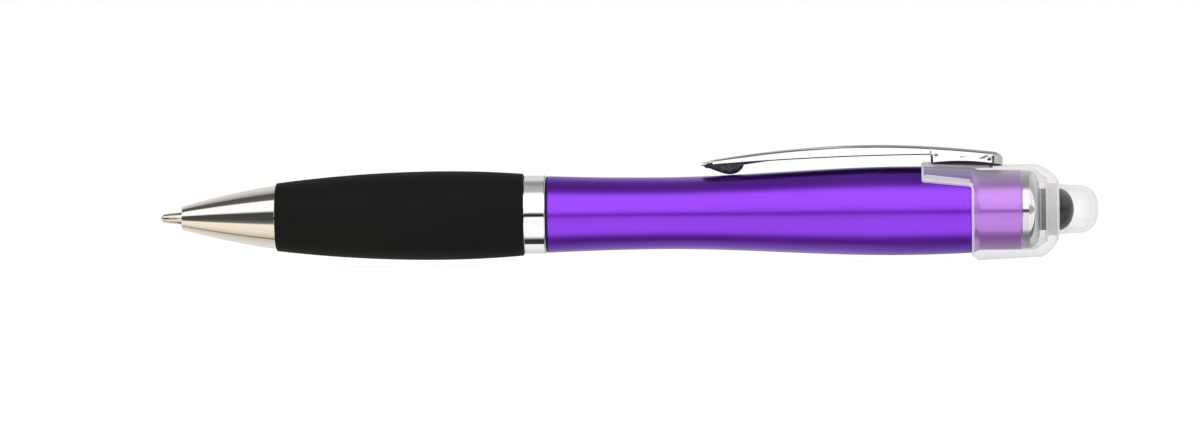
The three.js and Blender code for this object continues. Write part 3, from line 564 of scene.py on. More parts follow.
# Frosted cap
CAP_TOP_HEIGHT = 6.83
CAP_BOTTOM_FRONT = 7.595
CAP_BOTTOM_REAR = 7.16
CAP_END_TOP = 4.15
CAP_END_BOTTOM = 4.1
CAP_TOP_ROUND_LENGTH = 3.6
CAP_BOTTOM_ROUND_LENGTH = 2.7
CAP_CORNER_SHARPNESS = 1.42
CAP_END_WALL = 1.7
CAP_HOLE_RADIUS = 3.95
CAP_HOLLOW_TAPER = 1.9
CAP_HOLLOW_END_RADIUS = 4.7
TONGUE_WALL = 0.45
TONGUE_FRONT_EDGE = 4.5
TONGUE_REAR_EDGE = 3.8
TONGUE_FILLET = 0.8
TONGUE_CORNER = 0.45
TONGUE_BLEND = 0.6
RIM_ROUND = 0.14
RIM_OFFSETS = (0, 0.03, 0.08, 0.14, 0.35, 0.6, 0.9)
RIM_ROWS = 4
# Columns of the front outline, counted from the top, where the tongue's rim is a row wider
WIDE_RIM_COLUMNS = ((22, 56), (23, 53))
# Milky rows before and behind the edge of the hole
MILKY_END_ROWS = (8, 2)
# Rows of the cap's grid: within the tongue, along the plain walls and ahead of the rounded corner
CAP_ROW_INSET = 0.8
CAP_WALL_SETBACK = 1.8
CAP_CORNER_LEAD = 0.3
MOUTH_CHAMFER = 0.75
MOUTH_SPREAD = 0.8
RIB_HALF_WIDTH = 1.8
RIB_HEIGHT = 7.8
RIB_SINK = 0.13
RIB_INSET = 0.5
RIB_END_INSET = 0.12
RIB_EDGE = 0.15
RIB_END_ROWS = (0.1, 0.3)
LIP_HEIGHT = 7.36
CLIP_MOUNT_INSET = 1.4
CLIP_REAR_ROUND = 1.5
CLIP_MOUNT_AT = TONGUE_FRONT + CLIP_MOUNT_INSET


def corner_fall(station, length):
    t = clamp((station - (CAP_END - length)) / length)
    return 1 - (1 - t ** CAP_CORNER_SHARPNESS) ** (1 / CAP_CORNER_SHARPNESS)


def cap_top(station):
    return mix(CAP_TOP_HEIGHT, CAP_END_TOP, corner_fall(station, CAP_TOP_ROUND_LENGTH))


def cap_bottom(station):
    straight = CAP_END - SKIRT_FRONT - CAP_BOTTOM_ROUND_LENGTH
    drawn = mix(CAP_BOTTOM_FRONT, CAP_BOTTOM_REAR, clamp((station - SKIRT_FRONT) / straight))
    return mix(drawn, CAP_END_BOTTOM, corner_fall(station, CAP_BOTTOM_ROUND_LENGTH))


def cap_section(station):
    """Centre height and radius of the cap's outside. Over the tongue it follows the barrel."""
    tongue = barrel_radius(min(station, SKIRT_FRONT)) + FIT + TONGUE_WALL
    radius = (cap_top(station) + cap_bottom(station)) / 2
    centre = (cap_top(station) - cap_bottom(station)) / 2
    blend = smooth(clamp((station - SKIRT_FRONT + TONGUE_BLEND) / TONGUE_BLEND))
    return mix(0, centre, blend), mix(tongue, radius, blend)


def cap_outside(station, angle, inset=0):
    centre, radius = cap_section(station)
    radius -= inset
    return point(station, -radius * math.sin(angle), centre + radius * math.cos(angle))


def cap_inside(station, angle):
    end_wall = CAP_END - CAP_END_WALL
    room = mix(barrel_radius(min(station, SKIRT_FRONT)), BARREL_SPIGOT_RADIUS, shoulder_fall(station))
    t = clamp((station - (end_wall - CAP_HOLLOW_TAPER)) / CAP_HOLLOW_TAPER)
    return around(station, mix(room + FIT, CAP_HOLLOW_END_RADIUS, t), angle)


def cap_front_outline(offset):
    """The cap's front edge, moved into the cap by an offset, as (station, clock angle) all the way
    round: the tongue's front, its corner, its sloping lower edge, a fillet and the skirt's front."""
    corner = max(TONGUE_CORNER, offset)
    corner_at = (TONGUE_FRONT + corner, TONGUE_FRONT_EDGE + corner)
    fillet_at = (SKIRT_FRONT - TONGUE_FILLET, TONGUE_REAR_EDGE - TONGUE_FILLET)
    turn = quarter(8)
    side = []
    for a in turn:
        side.append((corner_at[0] - (corner - offset) * math.cos(a),
                     corner_at[1] - (corner - offset) * math.sin(a)))
    for t in steps(0, 1, 20)[1:-1]:
        side.append((mix(corner_at[0], fillet_at[0], t),
                     mix(TONGUE_FRONT_EDGE, TONGUE_REAR_EDGE, t) + offset))
    for a in turn:
        side.append((fillet_at[0] + (TONGUE_FILLET + offset) * math.sin(a),
                     fillet_at[1] + (TONGUE_FILLET + offset) * math.cos(a)))
    edge = []
    for station, height in side:
        centre, radius = cap_section(station)
        edge.append((station, math.acos((height - centre) / radius)))
    front = [(edge[0][0], angle) for angle in steps(0, edge[0][1], 24)[:-1]]
    skirt = [(edge[-1][0], angle) for angle in steps(edge[-1][1], math.pi, 40)[1:]]
    half = [*front, *edge, *skirt]
    return half + [(s, 2 * math.pi - a) for s, a in reversed(half[1:-1])]


def make_cap():
    """Outer and inner walls on one grid whose lines run from the front edge to the hole in the end.
    The rim along the front edge and the thick end wall are the second finish."""
    end_wall = CAP_END - CAP_END_WALL
    wall_front = SKIRT_FRONT + CAP_WALL_SETBACK
    joint = steps(SKIRT_FRONT - TONGUE_BLEND, SKIRT_FRONT + SHOULDER_LENGTH, 12)
    along = [*steps(TONGUE_FRONT + CAP_ROW_INSET, SKIRT_FRONT - CAP_ROW_INSET, 14), *joint]
    outside = [*along, *steps(wall_front, CAP_END - CAP_TOP_ROUND_LENGTH - CAP_CORNER_LEAD, 16),
               *rounded_end(CAP_END, CAP_TOP_ROUND_LENGTH, 24)]
    inside = [*along, *steps(wall_front, end_wall - CAP_HOLLOW_TAPER, 14),
              *steps(end_wall - CAP_HOLLOW_TAPER, end_wall, 6)[1:]]
    lines = cap_front_outline(RIM_OFFSETS[-1])
    rings = []
    for offset in RIM_OFFSETS:
        edge = max(0, 1 - offset / RIM_ROUND)
        inset = RIM_ROUND * (1 - math.sqrt(1 - edge * edge))
        # The mouth's chamfer, which fades out from underneath towards the sides
        slant = MOUTH_CHAMFER * (1 - offset / RIM_OFFSETS[-1])
        rings.append([cap_outside(s, a, inset + slant * smooth(clamp(-math.cos(a) / MOUTH_SPREAD)))
                      for s, a in cap_front_outline(offset)])
    for station in outside:
        rings.append([cap_outside(max(front, station), angle) for front, angle in lines])
    end_row = len(rings)
    for station, radius in ((CAP_END, CAP_HOLE_RADIUS), (end_wall, CAP_HOLE_RADIUS)):
        rings.append([around(station, radius, angle) for _, angle in lines])
    for station in reversed(inside):
        rings.append([cap_inside(max(front, station), angle) for front, angle in lines])
    for offset in reversed(RIM_OFFSETS):
        rings.append([cap_inside(s, angle) for s, angle in cap_front_outline(offset)])
    count = len(lines)

    def milky(row, column):
        place = min(column, count - 1 - column)
        rim = RIM_ROWS + sum(first <= place <= last for first, last in WIDE_RIM_COLUMNS)
        at_hole = end_row - MILKY_END_ROWS[0] <= row <= end_row + MILKY_END_ROWS[1]
        return row < rim or row >= len(rings) - rim or at_hole

    builder = bmesh.new()
    skin(builder, rings, True, milky)
    return finish_mesh("cap_surface", builder, 35)


def make_cap_rib():
    """The low boss that the clip's channel saddles, with a lower lip at the tongue's front."""
    builder = bmesh.new()
    rear = CLIP_REAR - CLIP_REAR_ROUND
    near, far = RIB_END_ROWS
    for front, height in ((TONGUE_FRONT + FIT, LIP_HEIGHT), (CLIP_MOUNT_AT + RIB_INSET, RIB_HEIGHT)):
        rings = []
        for station in [front, front + near, *steps(front + far, rear - far, 20), rear - near, rear]:
            inset = RIB_END_INSET * (station in (front, rear))
            low = barrel_radius(min(station, SKIRT_FRONT)) - RIB_SINK
            width = RIB_HALF_WIDTH - inset
            top = height - inset
            rings.append([point(station, y, z) for y, z in (
                (-width, low), (-width, top - RIB_EDGE), (-width + RIB_EDGE, top),
                (width - RIB_EDGE, top), (width, top - RIB_EDGE), (width, low))])
        close_ends(builder, skin(builder, rings))
    return finish_mesh("cap_rib", builder, 30)


# Clip
CLIP_PEAK_SETBACK = 19.55
CLIP_UNDER_GAP = 1.73
CLIP_DEPTH = 1.56
CLIP_TIP_DROP = 2.3
CLIP_REAR_DROP = 1.36
CLIP_REAR_CURVE = 1.8
CLIP_UNDER_DROP = 0.68
CLIP_TIP_HALF_WIDTH = 1.9
CLIP_SHEET = 0.45
CLIP_TIP_ROUND = 2.0
CLIP_CROWN = 0.6
CLIP_TIP_CROWN = 0.15
CLIP_DRAFT = 0.07
CLIP_SIDE_STEPS = 24
CLIP_STEP_LENGTH = 0.24
CLIP_SADDLE_LEAD = 0.4
CLIP_REAR_CROWN = 0.9
CLIP_ROLL_FULLNESS = 0.7
CLIP_CROWN_POWERS = (0.8, 0.9)
CLIP_LEAST = 0.02
FLANGE_EDGE_FRONT = 7.05
FLANGE_EDGE_REAR = 6.62
ARM_EDGE_ROLL = 0.13
FLANGE_EDGE_ROLL = 0.6
FOOT_SETBACK = 4.25
FOOT_FRONT_REACH = 3.9
FOOT_REAR_REACH = 2.2
FOOT_TAIL_REACH = 6.0
FOOT_TAIL_DEPTH = 0.3
FOOT_NOSE_DEPTH = 0.4
FOOT_HALF_WIDTH = 1.55
FOOT_GAP = 0.1
FOOT_SINK = 0.25
FOOT_NOSE_LENGTH = 0.5
FOOT_NOSE_POWER = 1.5
FOOT_POWERS = (0.6, 0.6)
FOOT_LEAST_HALF_WIDTH = 0.1
CLIP_LENGTH = CLIP_REAR - CLIP_TIP
CLIP_PEAK_AT = CLIP_REAR - CLIP_PEAK_SETBACK
CLIP_UNDER_HEIGHT = BARREL_BELLY_RADIUS + CLIP_UNDER_GAP
CLIP_PEAK_HEIGHT = CLIP_UNDER_HEIGHT + CLIP_DEPTH
FOOT_AT = CLIP_TIP + FOOT_SETBACK

# Dents in the clip's side: station, height, half-length, half-height, lean and depth
CLIP_DENTS = (
    (CLIP_MOUNT_AT + 0.8, 8.3, 0.24, 0.13, 0, 0.1),
    (CLIP_REAR - 6.0, 8.0, 0.5, 0.035, 0, 0.03),
    (CLIP_REAR - 2.75, 7.95, 0.55, 0.14, 0.4, 0.1),
    (CLIP_REAR - 2.05, 7.6, 0.22, 0.22, 0, 0.12),
    (CLIP_REAR - 1.45, 7.75, 0.13, 1.1, 0, 0.12),
    (CLIP_MOUNT_AT + 0.16, 7.55, 0.12, 0.75, 0, 0.12),
)
# Share of a dent's reach within which its bottom takes the painted shade finish
DENT_BOTTOM = 0.9
CLIP_END_LENGTH = 1.3


def clip_top(station):
    if station < CLIP_PEAK_AT:
        t = (CLIP_PEAK_AT - station) / (CLIP_PEAK_AT - CLIP_TIP)
        return CLIP_PEAK_HEIGHT - CLIP_TIP_DROP * t * t
    t = (station - CLIP_PEAK_AT) / CLIP_PEAK_SETBACK
    return CLIP_PEAK_HEIGHT - CLIP_REAR_DROP * t ** CLIP_REAR_CURVE


def saddle_share(station):
    """How far along the part that grips the cap, 0 to 1."""
    return clamp((station - CLIP_MOUNT_AT) / (CLIP_REAR - CLIP_MOUNT_AT))


def clip_edge(station):
    """Height of the lower edge of the clip's sides, which steps down where the clip grips the cap."""
    t = (CLIP_MOUNT_AT - station) / (CLIP_MOUNT_AT - CLIP_TIP)
    arm = CLIP_UNDER_HEIGHT - 2 * CLIP_UNDER_DROP * t * t
    saddle = mix(FLANGE_EDGE_FRONT, FLANGE_EDGE_REAR, saddle_share(station))
    step = smooth(clamp((station - CLIP_MOUNT_AT + CLIP_STEP_LENGTH / 2) / CLIP_STEP_LENGTH))
    return mix(arm, saddle, step)


def clip_edge_roll(station):
    """Height of the rolled lower edge, deepest under the middle of the saddle."""
    depth = math.sin(math.pi * saddle_share(station)) ** CLIP_ROLL_FULLNESS
    return mix(ARM_EDGE_ROLL, FLANGE_EDGE_ROLL, depth)


def clip_end_shares(station):
    """How far into the rounds of the front and the rear end, 1 at the very end."""
    front = max(0, 1 - (station - CLIP_TIP) / CLIP_TIP_ROUND)
    return front, max(0, 1 - (CLIP_REAR - station) / CLIP_REAR_ROUND)


def clip_half_width(station):
    width = mix(CLIP_TIP_HALF_WIDTH, CLIP_MOUNT_HALF_WIDTH, (station - CLIP_TIP) / CLIP_LENGTH)
    end = max(clip_end_shares(station))
    return max(width * math.sqrt(max(0, 1 - end ** 2)), CLIP_LEAST)


def clip_stations():
    tip = [CLIP_TIP + CLIP_TIP_ROUND * (1 - math.cos(a)) for a in quarter(12)]
    saddle_front = CLIP_MOUNT_AT - CLIP_SADDLE_LEAD
    arm = steps(CLIP_TIP + CLIP_TIP_ROUND, saddle_front, 70)[1:]
    saddle = steps(saddle_front, CLIP_REAR - CLIP_REAR_ROUND, 150)[1:]
    return [*tip, *arm, *saddle, *rounded_end(CLIP_REAR, CLIP_REAR_ROUND, 24)[1:]]


def dent_reach(station, height, dent):
    """Squared distance from a dent's middle, 1 at its rim."""
    at, level, length, tall, lean, _ = dent
    level += lean * (station - at)
    return ((station - at) / length) ** 2 + ((height - level) / tall) ** 2


def dent_depth(station, height):
    return max(dent[-1] * math.exp(-dent_reach(station, height, dent)) for dent in CLIP_DENTS)


def arch(half_width, rise, powers):
    """Half an ellipse from side to side, as places across and up, squared off by two powers."""
    across, up = powers
    return [(half_width * math.copysign(abs(math.cos(a)) ** across, math.cos(a)),
             rise * math.sin(a) ** up) for a in steps(0, math.pi, 24)]


def clip_wall(station, inset):
    """Points over the channel from one lower edge to the other, drawn in by an inset."""
    half_width = max(clip_half_width(station) - inset, CLIP_LEAST / 2)
    front, rear = clip_end_shares(station)
    rear_fall = CLIP_REAR_CROWN * (1 - math.sqrt(max(0, 1 - rear * rear)))
    top = clip_top(station) - (rear_fall + CLIP_TIP_CROWN * front * front)
    edge = min(clip_edge(station), top - CLIP_SHEET)
    top -= inset
    crown = min(CLIP_CROWN, (top - edge) / 2)
    shoulder = top - crown
    roll = 0 if inset else min(clip_edge_roll(station), (shoulder - edge) / 2, half_width / 2)
    side = [(max(half_width - roll, CLIP_LEAST / 4), edge)]
    for z in steps(edge + roll, shoulder, CLIP_SIDE_STEPS):
        dent = 0 if inset else dent_depth(station, z)
        side.append((max(half_width - CLIP_DRAFT * (z - edge) - dent, CLIP_LEAST / 4), z))
    over = [(y, shoulder + z) for y, z in arch(side[-1][0], crown, CLIP_CROWN_POWERS)[1:-1]]
    whole = [*side, *over, *((-y, z) for y, z in reversed(side))]
    return [point(station, y, z) for y, z in whole]


def make_clip():
    """The channel as one bent sheet. Its inner face, rolled lower edges and the bottoms of the dents
    are the second finish, painted shade, and its rear end is the third, chrome darkened as painted shade."""
    builder = bmesh.new()
    rings = []
    for station in clip_stations():
        inner_station = min(max(station, CLIP_TIP + CLIP_SHEET), CLIP_REAR - CLIP_SHEET)
        outer = clip_wall(station, 0)
        inner = clip_wall(inner_station, CLIP_SHEET)
        rings.append([*outer, *reversed(inner)])
    count = len(rings[0])
    inner_start = count // 2 - 2

    # Painted shade: the inner face, the rolled lower edges and the dent bottoms take the dark finish
    def finish(row, column):
        if column == 0 or column >= inner_start:
            return 1
        middle = (rings[row][column] + rings[row + 1][column + 1]) / 2
        station = station_of(middle.x)
        height = (middle.z - AXIS_HEIGHT) / MM
        on_side = min(column, inner_start - column) < CLIP_SIDE_STEPS
        if on_side and any(dent_reach(station, height, dent) < DENT_BOTTOM for dent in CLIP_DENTS):
            return 1
        return 2 * (station > CLIP_REAR - CLIP_END_LENGTH)

    grid = skin(builder, rings, False, finish)
    for ring in (grid[0], grid[-1]):
        for i in range(count // 2 - 1):
            builder.faces.new((ring[i], ring[i + 1], ring[count - 2 - i], ring[count - 1 - i]))
    return finish_mesh("clip_surface", builder, 38)


def make_clip_foot():
    """The solid keel under the clip's front end, which thins out into a web along the channel."""
    front = FOOT_AT - FOOT_FRONT_REACH
    rear = FOOT_AT + FOOT_REAR_REACH
    tail = FOOT_AT + FOOT_TAIL_REACH
    keel = barrel_radius(FOOT_AT) + FOOT_GAP
    stations = [*steps(front, FOOT_AT, 30)[:-1], *rounded_end(rear, FOOT_REAR_REACH, 20),
                *steps(rear, tail, 12)[1:]]
    rings = []
    for station in stations:
        t = (station - FOOT_AT) / (FOOT_FRONT_REACH if station < FOOT_AT else FOOT_REAR_REACH)
        if station < FOOT_AT:
            fullness = 1 - abs(t) ** FOOT_NOSE_POWER
        else:
            fullness = math.sqrt(max(0, 1 - t * t))
        edge = min(clip_edge(station), clip_top(station) - CLIP_SHEET)
        web = FOOT_TAIL_DEPTH * clamp((tail - station) / (tail - rear))
        nose = FOOT_NOSE_DEPTH * math.sqrt(min(1, (station - front) / FOOT_NOSE_LENGTH))
        depth = max((edge - keel) * fullness, web if station > FOOT_AT else nose) + CLIP_LEAST / 2
        half_width = min(FOOT_HALF_WIDTH, clip_half_width(station) - FOOT_SINK)
        half_width = max(half_width, FOOT_LEAST_HALF_WIDTH)
        hull = arch(half_width, depth + FOOT_SINK, FOOT_POWERS)
        rings.append([point(station, y, edge + FOOT_SINK - down) for y, down in hull])
    builder = bmesh.new()
    close_ends(builder, skin(builder, rings))
    return finish_mesh("clip_foot", builder, 50)


# Materials: the span of the noise over which a finish's roughness and its colour vary
ROUGHNESS_SPAN = (0.3, 0.7)
COLOR_SPAN = (0.35, 0.65)


def rgba(color):
    """A colour with full alpha, from a grey level or from red, green and blue."""
    return (*color, 1) if isinstance(color, tuple) else (color, color, color, 1)


def plug(socket, value):
    """Links a socket to another node's output, or sets it to a constant value."""
    if isinstance(value, bpy.types.NodeSocket):
        socket.id_data.links.new(value, socket)
    else:
        socket.default_value = value


def set_sockets(node, **values):
    for name, value in values.items():
        plug(node.inputs[name.replace("_", " ")], value)
    return node


def add_node(tree, kind, **values):
    return set_sockets(tree.nodes.new(kind), **values)


def map_range(tree, value, start, end, low=0.0, high=1.0):
    """Maps a value from start and end to low and high."""
    node = add_node(tree, "ShaderNodeMapRange", Value=value, From_Min=start, From_Max=end,
                    To_Min=low, To_Max=high)
    return node.outputs["Result"]


def color_ramp(tree, factor, stops):
    """A colour ramp through rows of position and colour."""
    ramp = add_node(tree, "ShaderNodeValToRGB", Fac=factor)
    elements = ramp.color_ramp.elements
    while len(elements) < len(stops):
        elements.new(1)
    for element, (position, color) in zip(elements, stops):
        element.position = position
        element.color = rgba(color)
    return ramp.outputs["Color"]


def shade(material, **values):
    set_sockets(material.node_tree.nodes["Principled BSDF"], **values)


def new_material(name, color, roughness, metallic=0.0, **sockets):
    """A Principled material with its constant values set on its own sockets."""
    material = bpy.data.materials.new(name)
    material.use_nodes = True
    shade(material, Base_Color=rgba(color), Roughness=roughness, Metallic=metallic, **sockets)
    return material


def noise(material, scale, detail=3.0, stretch=(1, 1, 1)):
    """A noise texture in object coordinates, stretched along the axes."""
    tree = material.node_tree
    place = add_node(tree, "ShaderNodeTexCoord").outputs["Object"]
    mapping = add_node(tree, "ShaderNodeMapping", Vector=place, Scale=stretch)
    texture = add_node(tree, "ShaderNodeTexNoise", Vector=mapping.outputs["Vector"], Scale=scale,
                       Detail=detail)
    return texture.outputs["Fac"]


def vary_roughness(material, texture, low, high):
    spread = map_range(material.node_tree, texture, *ROUGHNESS_SPAN, low, high)
    shade(material, Roughness=spread)


def vary_color(material, texture, dark, light):
    stops = tuple(zip(COLOR_SPAN, (dark, light)))
    shade(material, Base_Color=color_ramp(material.node_tree, texture, stops))


def add_bump(material, texture, strength, distance):
    bump = add_node(material.node_tree, "ShaderNodeBump", Height=texture, Strength=strength,
                    Distance=distance)
    shade(material, Normal=bump.outputs["Normal"])


def veil(material, face_alpha, edge_alpha, blend):
    """Alpha that rises towards grazing angles, as a clear wall looks milkier along its edge."""
    weight = add_node(material.node_tree, "ShaderNodeLayerWeight", Blend=blend)
    alpha = map_range(material.node_tree, weight.outputs["Facing"], 0, 1, face_alpha, edge_alpha)
    shade(material, Alpha=alpha)


def chrome(name, color):
    material = new_material(name, color, 0.05, 1.0)
    vary_roughness(material, noise(material, 900, 4, (0.3, 1, 1)), 0.03, 0.08)
    return material


def metal(name, color, roughness):
    material = new_material(name, color, roughness, 1.0)
    texture = noise(material, 2500, 3, (0.2, 1, 1))
    vary_roughness(material, texture, roughness * 0.7, roughness * 1.3)
    add_bump(material, texture, 0.1, 0.00002)
    return material


def plastic(name, color, roughness):
    material = new_material(name, color, roughness)
    texture = noise(material, 1800)
    vary_roughness(material, texture, roughness * 0.85, roughness * 1.15)
    add_bump(material, texture, 0.15, 0.00003)
    return material


def violet_aluminium(name, color, roughness, coat_roughness, coat_ior):
    """Dyed satin metal under a clear sealed layer."""
    material = new_material(name, color, roughness, 1.0, Coat_Weight=1,
                            Coat_Roughness=coat_roughness, Coat_IOR=coat_ior)
    deep = tuple(0.93 * channel for channel in color)
    pale = tuple(1.07 * channel for channel in color)
    vary_color(material, noise(material, 9000, 2), deep, pale)
    vary_roughness(material, noise(material, 700, 3, (0.15, 1, 1)), roughness * 0.9, roughness * 1.1)
    return material


def grip_rubber(name):
    material = new_material(name, (0.0065, 0.007, 0.0055), 0.6, Specular_IOR_Level=0.13)
    grain = noise(material, 6000, 4)
    vary_color(material, noise(material, 60), (0.0055, 0.006, 0.0047), (0.0075, 0.008, 0.0063))
    vary_roughness(material, grain, 0.54, 0.68)
    add_bump(material, grain, 0.25, 0.00004)
    return material


def frosted_plastic(name, color, face_alpha, edge_alpha):
    material = new_material(name, color, 0.28)
    vary_roughness(material, noise(material, 1500, 3), 0.22, 0.34)
    veil(material, face_alpha, edge_alpha, 0.3)
    return material


def silicone(name, color, face_alpha, edge_alpha):
    material = new_material(name, color, 0.44)
    vary_roughness(material, noise(material, 900, 2), 0.38, 0.5)
    veil(material, face_alpha, edge_alpha, 0.7)
    return material


def smoked_lens(name):
    material = new_material(name, (0.03, 0.03, 0.034), 0.15, Specular_IOR_Level=0.3)
    vary_color(material, noise(material, 700, 4), (0.015, 0.015, 0.018), (0.05, 0.05, 0.054))
    vary_roughness(material, noise(material, 1200, 3), 0.07, 0.13)
    return material


def painted_shade_chrome():
    """Chrome darkened as painted shade on the clip's rear end, with bumps for its uneven pressed surface.
    """
    material = chrome("painted_shade_chrome_finish", (0.62, 0.62, 0.61))
    add_bump(material, noise(material, 1600, 3), 0.9, 0.0004)
    return material


def painted_shade_metal(name, dark, light, roughness):
    """Dark mottled metal as painted shade, on faces that lie in shadow, in a gap or reflect dark
    surroundings.
    """
    material = new_material(name, light, roughness, 0.6)
    mottling = noise(material, 3200, 4)
    vary_color(material, mottling, dark, light)
    add_bump(material, mottling, 0.2, 0.00003)
    return material


def dress(obj, *materials):
    if not obj.data.materials:
        for material in materials:
            obj.data.materials.append(material)
    for slot, material in zip(obj.material_slots, materials):
        slot.material = material


# Each fine piece: what makes it, the CAD node that it stands for and its body
FINE_PIECES = (
    (make_nose, "nose_cone", "front_section"),
    (make_grip, "grip_sleeve", "front_section"),
    (make_ring, "centre_ring", "front_section"),
    (make_barrel, "upper_barrel", "barrel"),
    (make_point, "refill_point", "refill"),
    (make_ball, "writing_ball", "refill"),
    (make_collar, "light_collar", "barrel"),
    (make_plunger, "lens_plunger", "stylus_button"),
    (make_tip, "stylus_tip", "stylus_button"),
    (make_cap, "end_cap", "barrel"),
    (make_cap_rib, "end_cap", "barrel"),
    (make_clip, "clip", "spring_clip"),
    (make_clip_foot, "clip", "spring_clip"),
)


# What makes the finish of each material slot, and its values
FINISHES = {
    "nose_chrome": (chrome, (0.86, 0.85, 0.84)),
    "bright_chrome": (chrome, 0.88),
    "clip_chrome": (chrome, (0.88, 0.88, 0.87)),
    "black_grip_rubber": (grip_rubber,),
    "violet_anodised": (violet_aluminium, (0.285, 0.012, 0.96), 0.32, 0.2, 1.6),
    "frosted_plastic": (frosted_plastic, (0.9, 0.87, 0.86), 0.03, 0.5),
    "clear_silicone": (silicone, (0.8, 0.775, 0.73), 0.035, 0.27),
    "smoked_lens": (smoked_lens,),
    "led_epoxy": (plastic, (0.8, 0.86, 0.92), 0.12),
    "black_plastic": (plastic, (0.02, 0.02, 0.022), 0.45),
    "white_plastic": (plastic, (0.78, 0.78, 0.75), 0.4),
    "ink_tube": (plastic, (0.03, 0.04, 0.09), 0.25),
    "nickel_silver": (metal, (0.8, 0.76, 0.67), 0.14),
    "ball_steel": (metal, 0.6, 0.1),
    "spring_steel": (metal, (0.55, 0.55, 0.56), 0.25),
    "cell_steel": (metal, 0.66, 0.22),
    "contact_brass": (metal, (0.74, 0.56, 0.26), 0.25),
}


def make_other_finishes():
    """Second and third finishes of the pieces that have them, by the function that makes the piece."""
    violet = violet_aluminium("polished_spigot_finish", (0.62, 0.18, 1.0), 0.38, 0.06, 2.1)
    # The clip's channel finish is painted shade on its inner face, rolled edges and dent bottoms
    channel = painted_shade_metal("channel_painted_shade_finish", 0.03, 0.06, 0.4)
    return {
        # The barrel's seam finish is painted shade for the gap behind the ring
        make_barrel: (violet, painted_shade_metal("seam_painted_shade_finish", (0.03, 0.003, 0.08), (0.08, 0.01, 0.18), 0.6)),
        make_cap: (frosted_plastic("milky_rim_finish", (0.98, 0.94, 0.96), 0.56, 0.78),),
        make_plunger: (plastic("plunger_body_finish", (0.55, 0.55, 0.6), 0.3),
                       # The plunger's dark band is painted shade
                       plastic("plunger_painted_shade_finish", (0.15, 0.16, 0.18), 0.3)),
        make_tip: (silicone("silicone_skirt_finish", (0.9, 0.88, 0.92), 0.35, 0.6),
                   silicone("inner_silicone_finish", (0.9, 0.88, 0.85), 0.0, 0.06)),
        make_clip: (channel, painted_shade_chrome()),
    }


def make_pieces():
    materials = {slot: make(slot + "_finish", *values) for slot, (make, *values) in FINISHES.items()}
    others = make_other_finishes()
    # The clip's foot in dark metal: painted shade and painted dark reflection under the clip's front
    foot = painted_shade_metal("clip_foot_painted_shade_finish", (0.025, 0.026, 0.024), (0.12, 0.12, 0.11), 0.5)
    whole = {make_cap_rib: others[make_cap][0], make_clip_foot: foot}
    slots = {entry["node"]: entry["material_slot"] for entry in frame["record"]["subparts"]}
    for make, node, body in FINE_PIECES:
        piece = make()
        slot = slots[node]
        dress(piece, whole.get(make, materials[slot]), *others.get(make, ()))
        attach(piece, body)
        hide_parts(node)
    make_springs(materials["spring_steel"])
    replaced = {node for _, node, _ in FINE_PIECES} | set(COILS)
    for node, obj in frame["nodes"].items():
        if node not in replaced:
            dress(obj, materials[slots[node]])


# Studio: the camera, a pale floor, one soft lamp and a light tent

def make_camera():
    centre_station = (PHOTO_WIDTH / 2 - BALL_PIXEL) * MM_PER_PIXEL
    axis_pixel = AXIS_PIXEL_AT_BALL - AXIS_RISE * (PHOTO_WIDTH / 2 - BALL_PIXEL)
    target = point(centre_station, 0, (axis_pixel - PHOTO_HEIGHT / 2) * MM_PER_PIXEL)
    away = Vector((math.sin(CAMERA_AZIMUTH), -math.cos(CAMERA_AZIMUTH), 0))
    level_right = Vector((math.cos(CAMERA_AZIMUTH), math.sin(CAMERA_AZIMUTH), 0))
    roll = math.atan(AXIS_RISE)
    up = Vector((0, 0, 1)) * math.cos(roll) + level_right * math.sin(roll)
    right = level_right * math.cos(roll) - Vector((0, 0, 1)) * math.sin(roll)
    data = bpy.data.cameras.new("photo_camera")
    data.sensor_width = SENSOR_WIDTH
    seen_width = PHOTO_WIDTH * MM_PER_PIXEL * MM * math.cos(CAMERA_AZIMUTH)
    data.lens = SENSOR_WIDTH * CAMERA_DISTANCE / seen_width
    data.clip_start = 0.01
    data.clip_end = 20
    camera = add_object("photo_camera", data)
    position = target + away * CAMERA_DISTANCE
    axes = Matrix((right, up, away)).transposed().to_4x4()
    camera.matrix_world = Matrix.Translation(position) @ axes
    scene.camera = camera


# The floor's half-size in metres, its own shade, which takes the shadow, and its glow
FLOOR_SIZE = 4.0
FLOOR_SHADE = 0.3
FLOOR_GLOW = (0.78, 0.78, 0.775)


def make_floor():
    """A pale floor that keeps the pen's shadow and throws no light on it."""
    builder = bmesh.new()
    bmesh.ops.create_grid(builder, x_segments=1, y_segments=1, size=FLOOR_SIZE)
    floor = finish_mesh("floor", builder)
    floor.location.z = CAD_BOUNDS[0][2]
    floor.visible_glossy = False
    floor.visible_diffuse = False
    material = bpy.data.materials.new("floor_white")
    material.use_nodes = True
    tree = material.node_tree
    tree.nodes.clear()
    diffuse = add_node(tree, "ShaderNodeBsdfDiffuse", Color=rgba(FLOOR_SHADE))
    glow = add_node(tree, "ShaderNodeEmission", Color=rgba(FLOOR_GLOW))
    both = add_node(tree, "ShaderNodeAddShader")
    plug(both.inputs[0], diffuse.outputs["BSDF"])
    plug(both.inputs[1], glow.outputs["Emission"])
    add_node(tree, "ShaderNodeOutputMaterial", Surface=both.outputs["Shader"])
    floor.data.materials.append(material)


def make_lamp():
    data = bpy.data.lights.new("soft_box", "AREA")
    data.shape = "RECTANGLE"
    data.size = 0.9
    data.size_y = 0.5
    data.energy = 1.6
    lamp = add_object("soft_box", data)
    lamp.location = (-0.1, -0.45, 0.75)
    lamp.rotation_euler = (-lamp.location).to_track_quat("-Z", "Y").to_euler()
    lamp.visible_glossy = False


